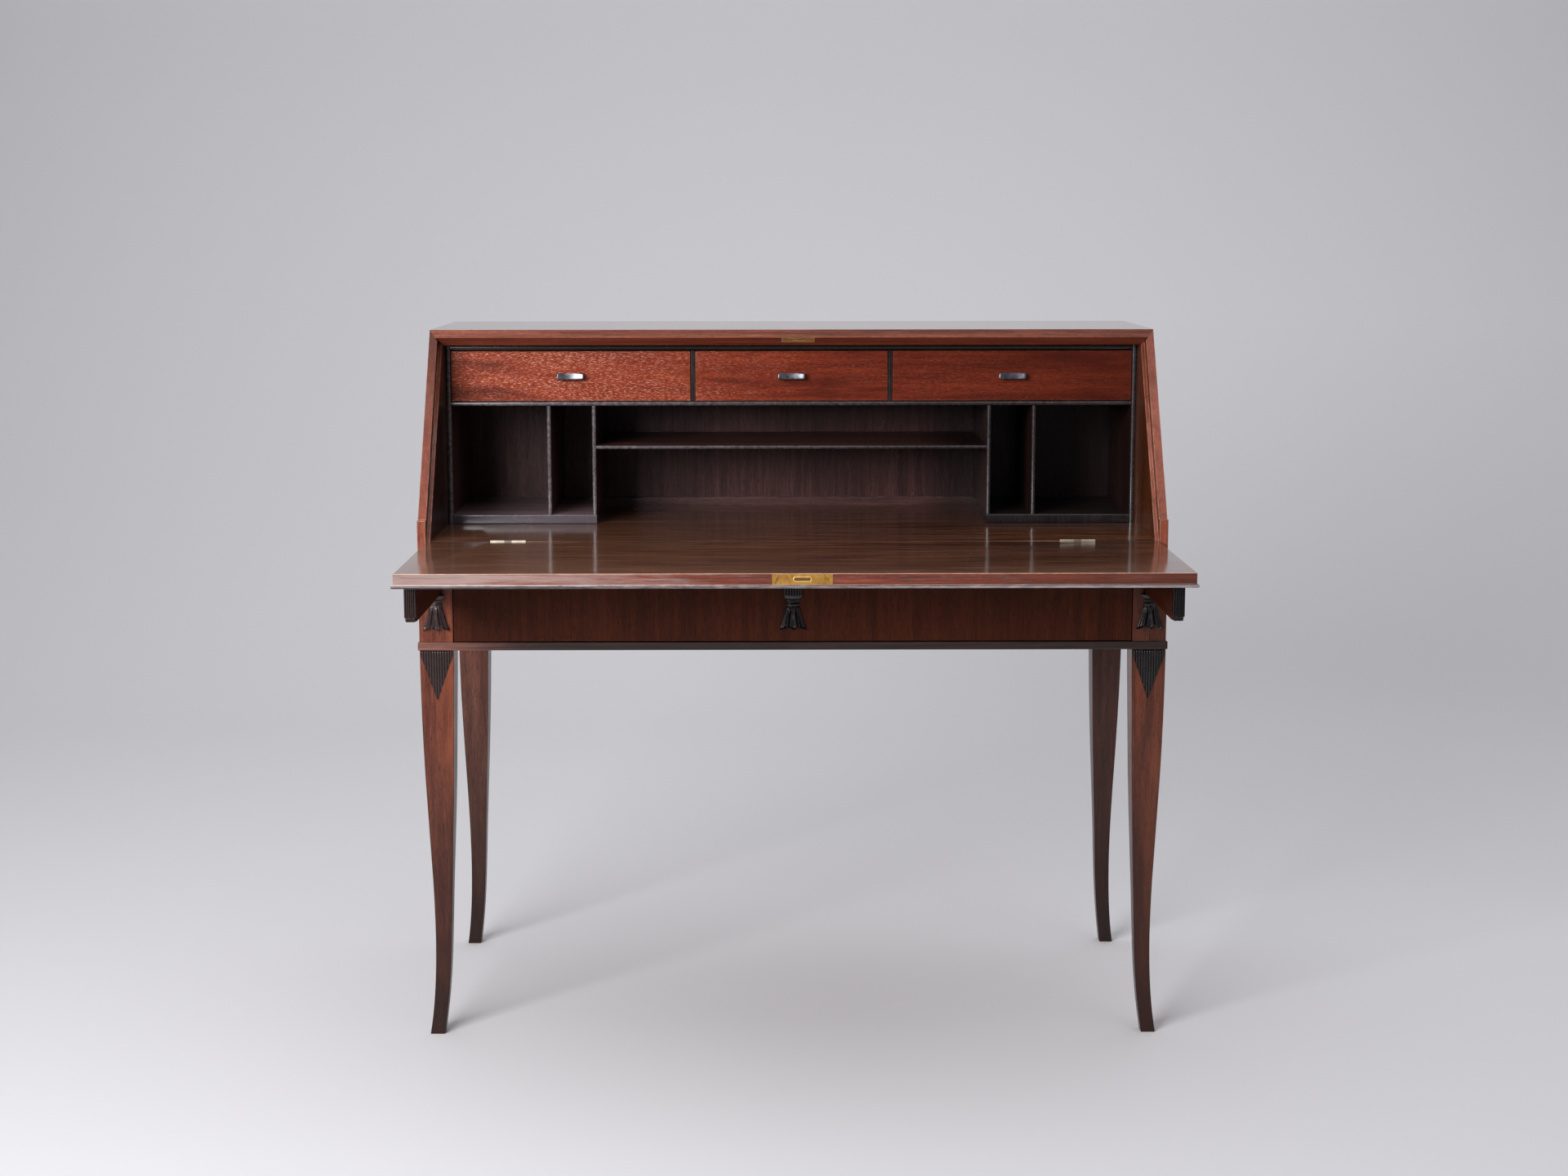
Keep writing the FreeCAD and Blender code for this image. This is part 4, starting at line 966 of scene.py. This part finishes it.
def bar(low, high):
    ring = 24
    middle = (low + high) / 2
    stem_front = low.y + BAR_THICK
    half = Vector(((high.x - low.x) / 2, (stem_front - low.y) / 2, (high.z - low.z) / 2))
    centre_y = (low.y + stem_front) / 2
    verts, faces = [], []
    stations = [(-1.0, 0.8), (-0.97, 0.95), (-0.94, 1.0)]
    stations += [(k / 10, 1.0) for k in range(-8, 9, 2)]
    stations += [(0.94, 1.0), (0.97, 0.95), (1.0, 0.8)]
    for place, scale in stations:
        for k in range(ring):
            turn = 2 * math.pi * k / ring
            c, s = math.cos(turn), math.sin(turn)
            y = centre_y + half.y * scale * math.copysign(abs(c) ** 0.5, c)
            y += BAR_DISH * (1 - place * place) * max(0.0, -c) ** 0.5
            z = middle.z + half.z * scale * math.copysign(abs(s) ** 0.5, s)
            y += LEAN * (z - low.z) * max(0.0, -c) ** 0.5
            verts.append((middle.x + place * half.x, y, z))
    for j in range(len(stations) - 1):
        for k in range(ring):
            a = j * ring + k
            b = j * ring + (k + 1) % ring
            faces.append((a, b, b + ring, a + ring))
    faces.append(tuple(reversed(range(ring))))
    faces.append(tuple(range((len(stations) - 1) * ring, len(stations) * ring)))
    start = len(verts)
    for y, grow in ((stem_front - 0.5 * MM, 1.0), (high.y - 1.2 * MM, 1.0), (high.y, 1.18)):
        for dx, dz in ((-1, -1), (1, -1), (1, 1), (-1, 1)):
            verts.append((middle.x + dx * STEM_HALF_WIDE * grow, y, middle.z + dz * STEM_HALF_TALL * grow))
    for j in range(2):
        for k in range(4):
            a = start + j * 4 + k
            b = start + j * 4 + (k + 1) % 4
            faces.append((a, b, b + 4, a + 4))
    faces.append((start + 3, start + 2, start + 1, start))
    faces.append((start + 8, start + 9, start + 10, start + 11))
    return verts, faces


for side in ("left", "centre", "right"):
    node = f"drawer_{side}_pull"
    piece(f"drawer_{side}_bar", bar(*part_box(node)), f"drawer_{side}", [pull_black], (node,))

# Metalwork
pale_metal = hinge_metal()
paint("hinge_bed_leaves", pale_metal)
paint("hinge_fall_leaves", pale_metal)
paint("hinge_pins", dull_brass)
paint("lock_plate", brass)
paint("lock_screws", screw_brass)
# The bolt in the lock's mouth: dark with painted shade.
paint("lock_bolt", mouth_brass)
paint("lock_case", steel)
paint("keyhole_escutcheon", brass)
paint("strike_plate", dull_brass)
paint("strike_screws", brass)

# Raised bead round the mouth of the lock, sunk so that it clears the strike when the fall is shut
BEAD_TUBE = 0.55 * MM
BEAD_SUNK = 0.33 * MM
LOCK_MOUTH = (12.0 * MM, 3.1 * MM)
STRIKE_MOUTH = (12.3 * MM, 2.8 * MM)
low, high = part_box("lock_plate")
plate_face = low.y
bead = stadium((low.x + high.x) / 2, (low.z + high.z) / 2, *LOCK_MOUTH, BEAD_TUBE,
               lambda a, b, n: (a, plate_face + BEAD_SUNK - n, b))
piece("lock_bead", bead, "fall", [highlight_brass])

# The same round the mouth of the strike plate, on its slanting face
work = welded("strike_plate")
face = max((f for f in work.faces if f.normal.y < -0.3), key=lambda f: f.calc_area())
out = face.normal.copy()
rise = out.cross(Vector((1, 0, 0))).normalized()
low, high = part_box("strike_plate")
hub = sum((v.co for v in face.verts), Vector()) / len(face.verts)
hub.x = (low.x + high.x) / 2
work.free()
bead = stadium(0.0, 0.0, *STRIKE_MOUTH, BEAD_TUBE,
               lambda a, b, n: hub + Vector((a, 0, 0)) + rise * b + out * (n - BEAD_SUNK))
piece("strike_bead", bead, "frame", [brass])

# Low strip along the back of the middle hole
low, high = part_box("case_back")
base_low, base_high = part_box("pigeonhole_base_right")
strip_half = base_low.x
STRIP_THICK = 2.5 * MM
section = [(0.0, 0.0), (-1.0, 0.0), (-1.0, 0.86), (-0.8, 0.97), (-0.4, 1.0), (0.0, 1.0)]
verts = [(x, low.y + y * STRIP_THICK, base_low.z + z * (base_high.z - base_low.z))
         for x in (-strip_half, strip_half) for y, z in section]
count = len(section)
faces = [(k, (k + 1) % count, count + (k + 1) % count, count + k) for k in range(count)]
faces += [tuple(range(count)), tuple(range(2 * count - 1, count - 1, -1))]
strip = piece("back_strip", (verts, faces), "frame",
              [wood("mahogany_inside", "X"), wood("mahogany_inside", "X", True)])
repaint(strip, lambda p: 1 if p.center.z > base_high.z - 2 * MM and abs(p.normal.x) < 0.5 else None)

# Studio: a pale sweep, a softbox at the left front, a wide one overhead, a weak fill and one for the backdrop

SWEEP_TONE = linear(229, 228, 232)
FLOOR_TONE = linear(239, 238, 242)


def sweep():
    """A floor that curves up into a wall behind the desk."""
    shade = Shade("studio_paper")
    cloud = shade.noise((0.7, 0.7, 0.7), 3.0, 0.5)
    wall = shade.mix(shade.span(cloud, 0.3, 0.7, 0.0, 0.06), SWEEP_TONE, linear(214, 213, 218))
    colour = shade.mix(shade.span(shade.axis("Y"), 1.0, 3.4, 1.0, 0.0), wall, FLOOR_TONE)
    shade.set(base_color=colour, roughness=0.85, specular_ior_level=0.2)
    floor_front, bend, radius, wall_top = -9.0, 2.2, 1.8, 7.0
    profile = [(floor_front, 0.0)]
    for step in range(25):
        turn = math.pi / 2 * step / 24
        profile.append((bend + radius * math.sin(turn), radius - radius * math.cos(turn)))
    profile.append((bend + radius, wall_top))
    verts, faces = [], []
    for x in (-9.0, 9.0):
        verts += [(x, y, z) for y, z in profile]
    count = len(profile)
    for k in range(count - 1):
        faces.append((k, k + 1, count + k + 1, count + k))
    mesh = bpy.data.meshes.new("studio_sweep")
    mesh.from_pydata(verts, [], faces)
    mesh.materials.append(shade.material)
    mesh.shade_smooth()
    obj = bpy.data.objects.new("studio_sweep", mesh)
    scene.collection.objects.link(obj)
    obj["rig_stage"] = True


def softbox(name, place, aim, width, height, watts, spread=180):
    data = bpy.data.lights.new(name, "AREA")
    data.shape = "RECTANGLE"
    data.size = width
    data.size_y = height
    data.energy = watts
    data.spread = math.radians(spread)
    obj = bpy.data.objects.new(name, data)
    obj.location = place
    obj.rotation_euler = (Vector(aim) - Vector(place)).to_track_quat("-Z", "Y").to_euler()
    obj.visible_camera = False
    scene.collection.objects.link(obj)


sweep()
softbox("key", (-1.68, -2.7, 1.75), (-0.1, 0.1, 0.95), 1.9, 1.2, 45.5, 114)
softbox("overhead", (-0.3, -0.8, 5.2), (-0.3, -0.8, 0.0), 9.0, 9.0, 220)
softbox("fill", (2.8, -2.6, 1.8), (0.0, 0.0, 0.7), 1.6, 1.6, 2.5)
softbox("backdrop", (-0.6, 2.4, 4.8), (-0.2, 4.0, 1.5), 6.0, 0.8, 8, 90)

# Dim air that adds little haze, and looks brighter where it is seen or mirrored
AIR_TINT = (0.92, 0.94, 1.0, 1.0)
AIR_LIGHT = 0.04
AIR_SEEN = 0.16
world = bpy.data.worlds.new("studio_air")
world.use_nodes = True
tree = world.node_tree
air = tree.nodes["Background"]
air.inputs["Color"].default_value = AIR_TINT
paths = tree.nodes.new("ShaderNodeLightPath")
seen = paths.outputs["Is Camera Ray"]
for other in ("Is Glossy Ray", "Is Transmission Ray"):
    total = tree.nodes.new("ShaderNodeMath")
    tree.links.new(seen, total.inputs[0])
    tree.links.new(paths.outputs[other], total.inputs[1])
    seen = total.outputs[0]
strength = tree.nodes.new("ShaderNodeMapRange")
tree.links.new(seen, strength.inputs["Value"])
strength.inputs["To Min"].default_value = AIR_LIGHT
strength.inputs["To Max"].default_value = AIR_SEEN
tree.links.new(strength.outputs[0], air.inputs["Strength"])
scene.world = world

# Camera at the photograph's place
CAMERA_PLACE = Vector((-0.0343, -3.67063, 1.2139))
YAW, PITCH, ROLL = (math.radians(a) for a in (0.337, 8.47, -0.051))
FOCAL_PIXELS = 3022.0
IMAGE_WIDTH = 1920.0
SENSOR = 36.0
forward = Vector((math.sin(YAW) * math.cos(PITCH), math.cos(YAW) * math.cos(PITCH), -math.sin(PITCH)))
level = Vector((math.cos(YAW), -math.sin(YAW), 0.0))
upright = level.cross(forward)
right = level * math.cos(ROLL) + upright * math.sin(ROLL)
up = upright * math.cos(ROLL) - level * math.sin(ROLL)
lens = bpy.data.cameras.new("camera")
lens.sensor_width = SENSOR
lens.lens = FOCAL_PIXELS / IMAGE_WIDTH * SENSOR
lens.clip_end = 60.0
camera = bpy.data.objects.new("camera", lens)
turn = Matrix((right, up, -forward)).transposed().to_4x4()
camera.matrix_world = Matrix.Translation(CAMERA_PLACE) @ turn
scene.collection.objects.link(camera)
scene.camera = camera

low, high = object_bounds()
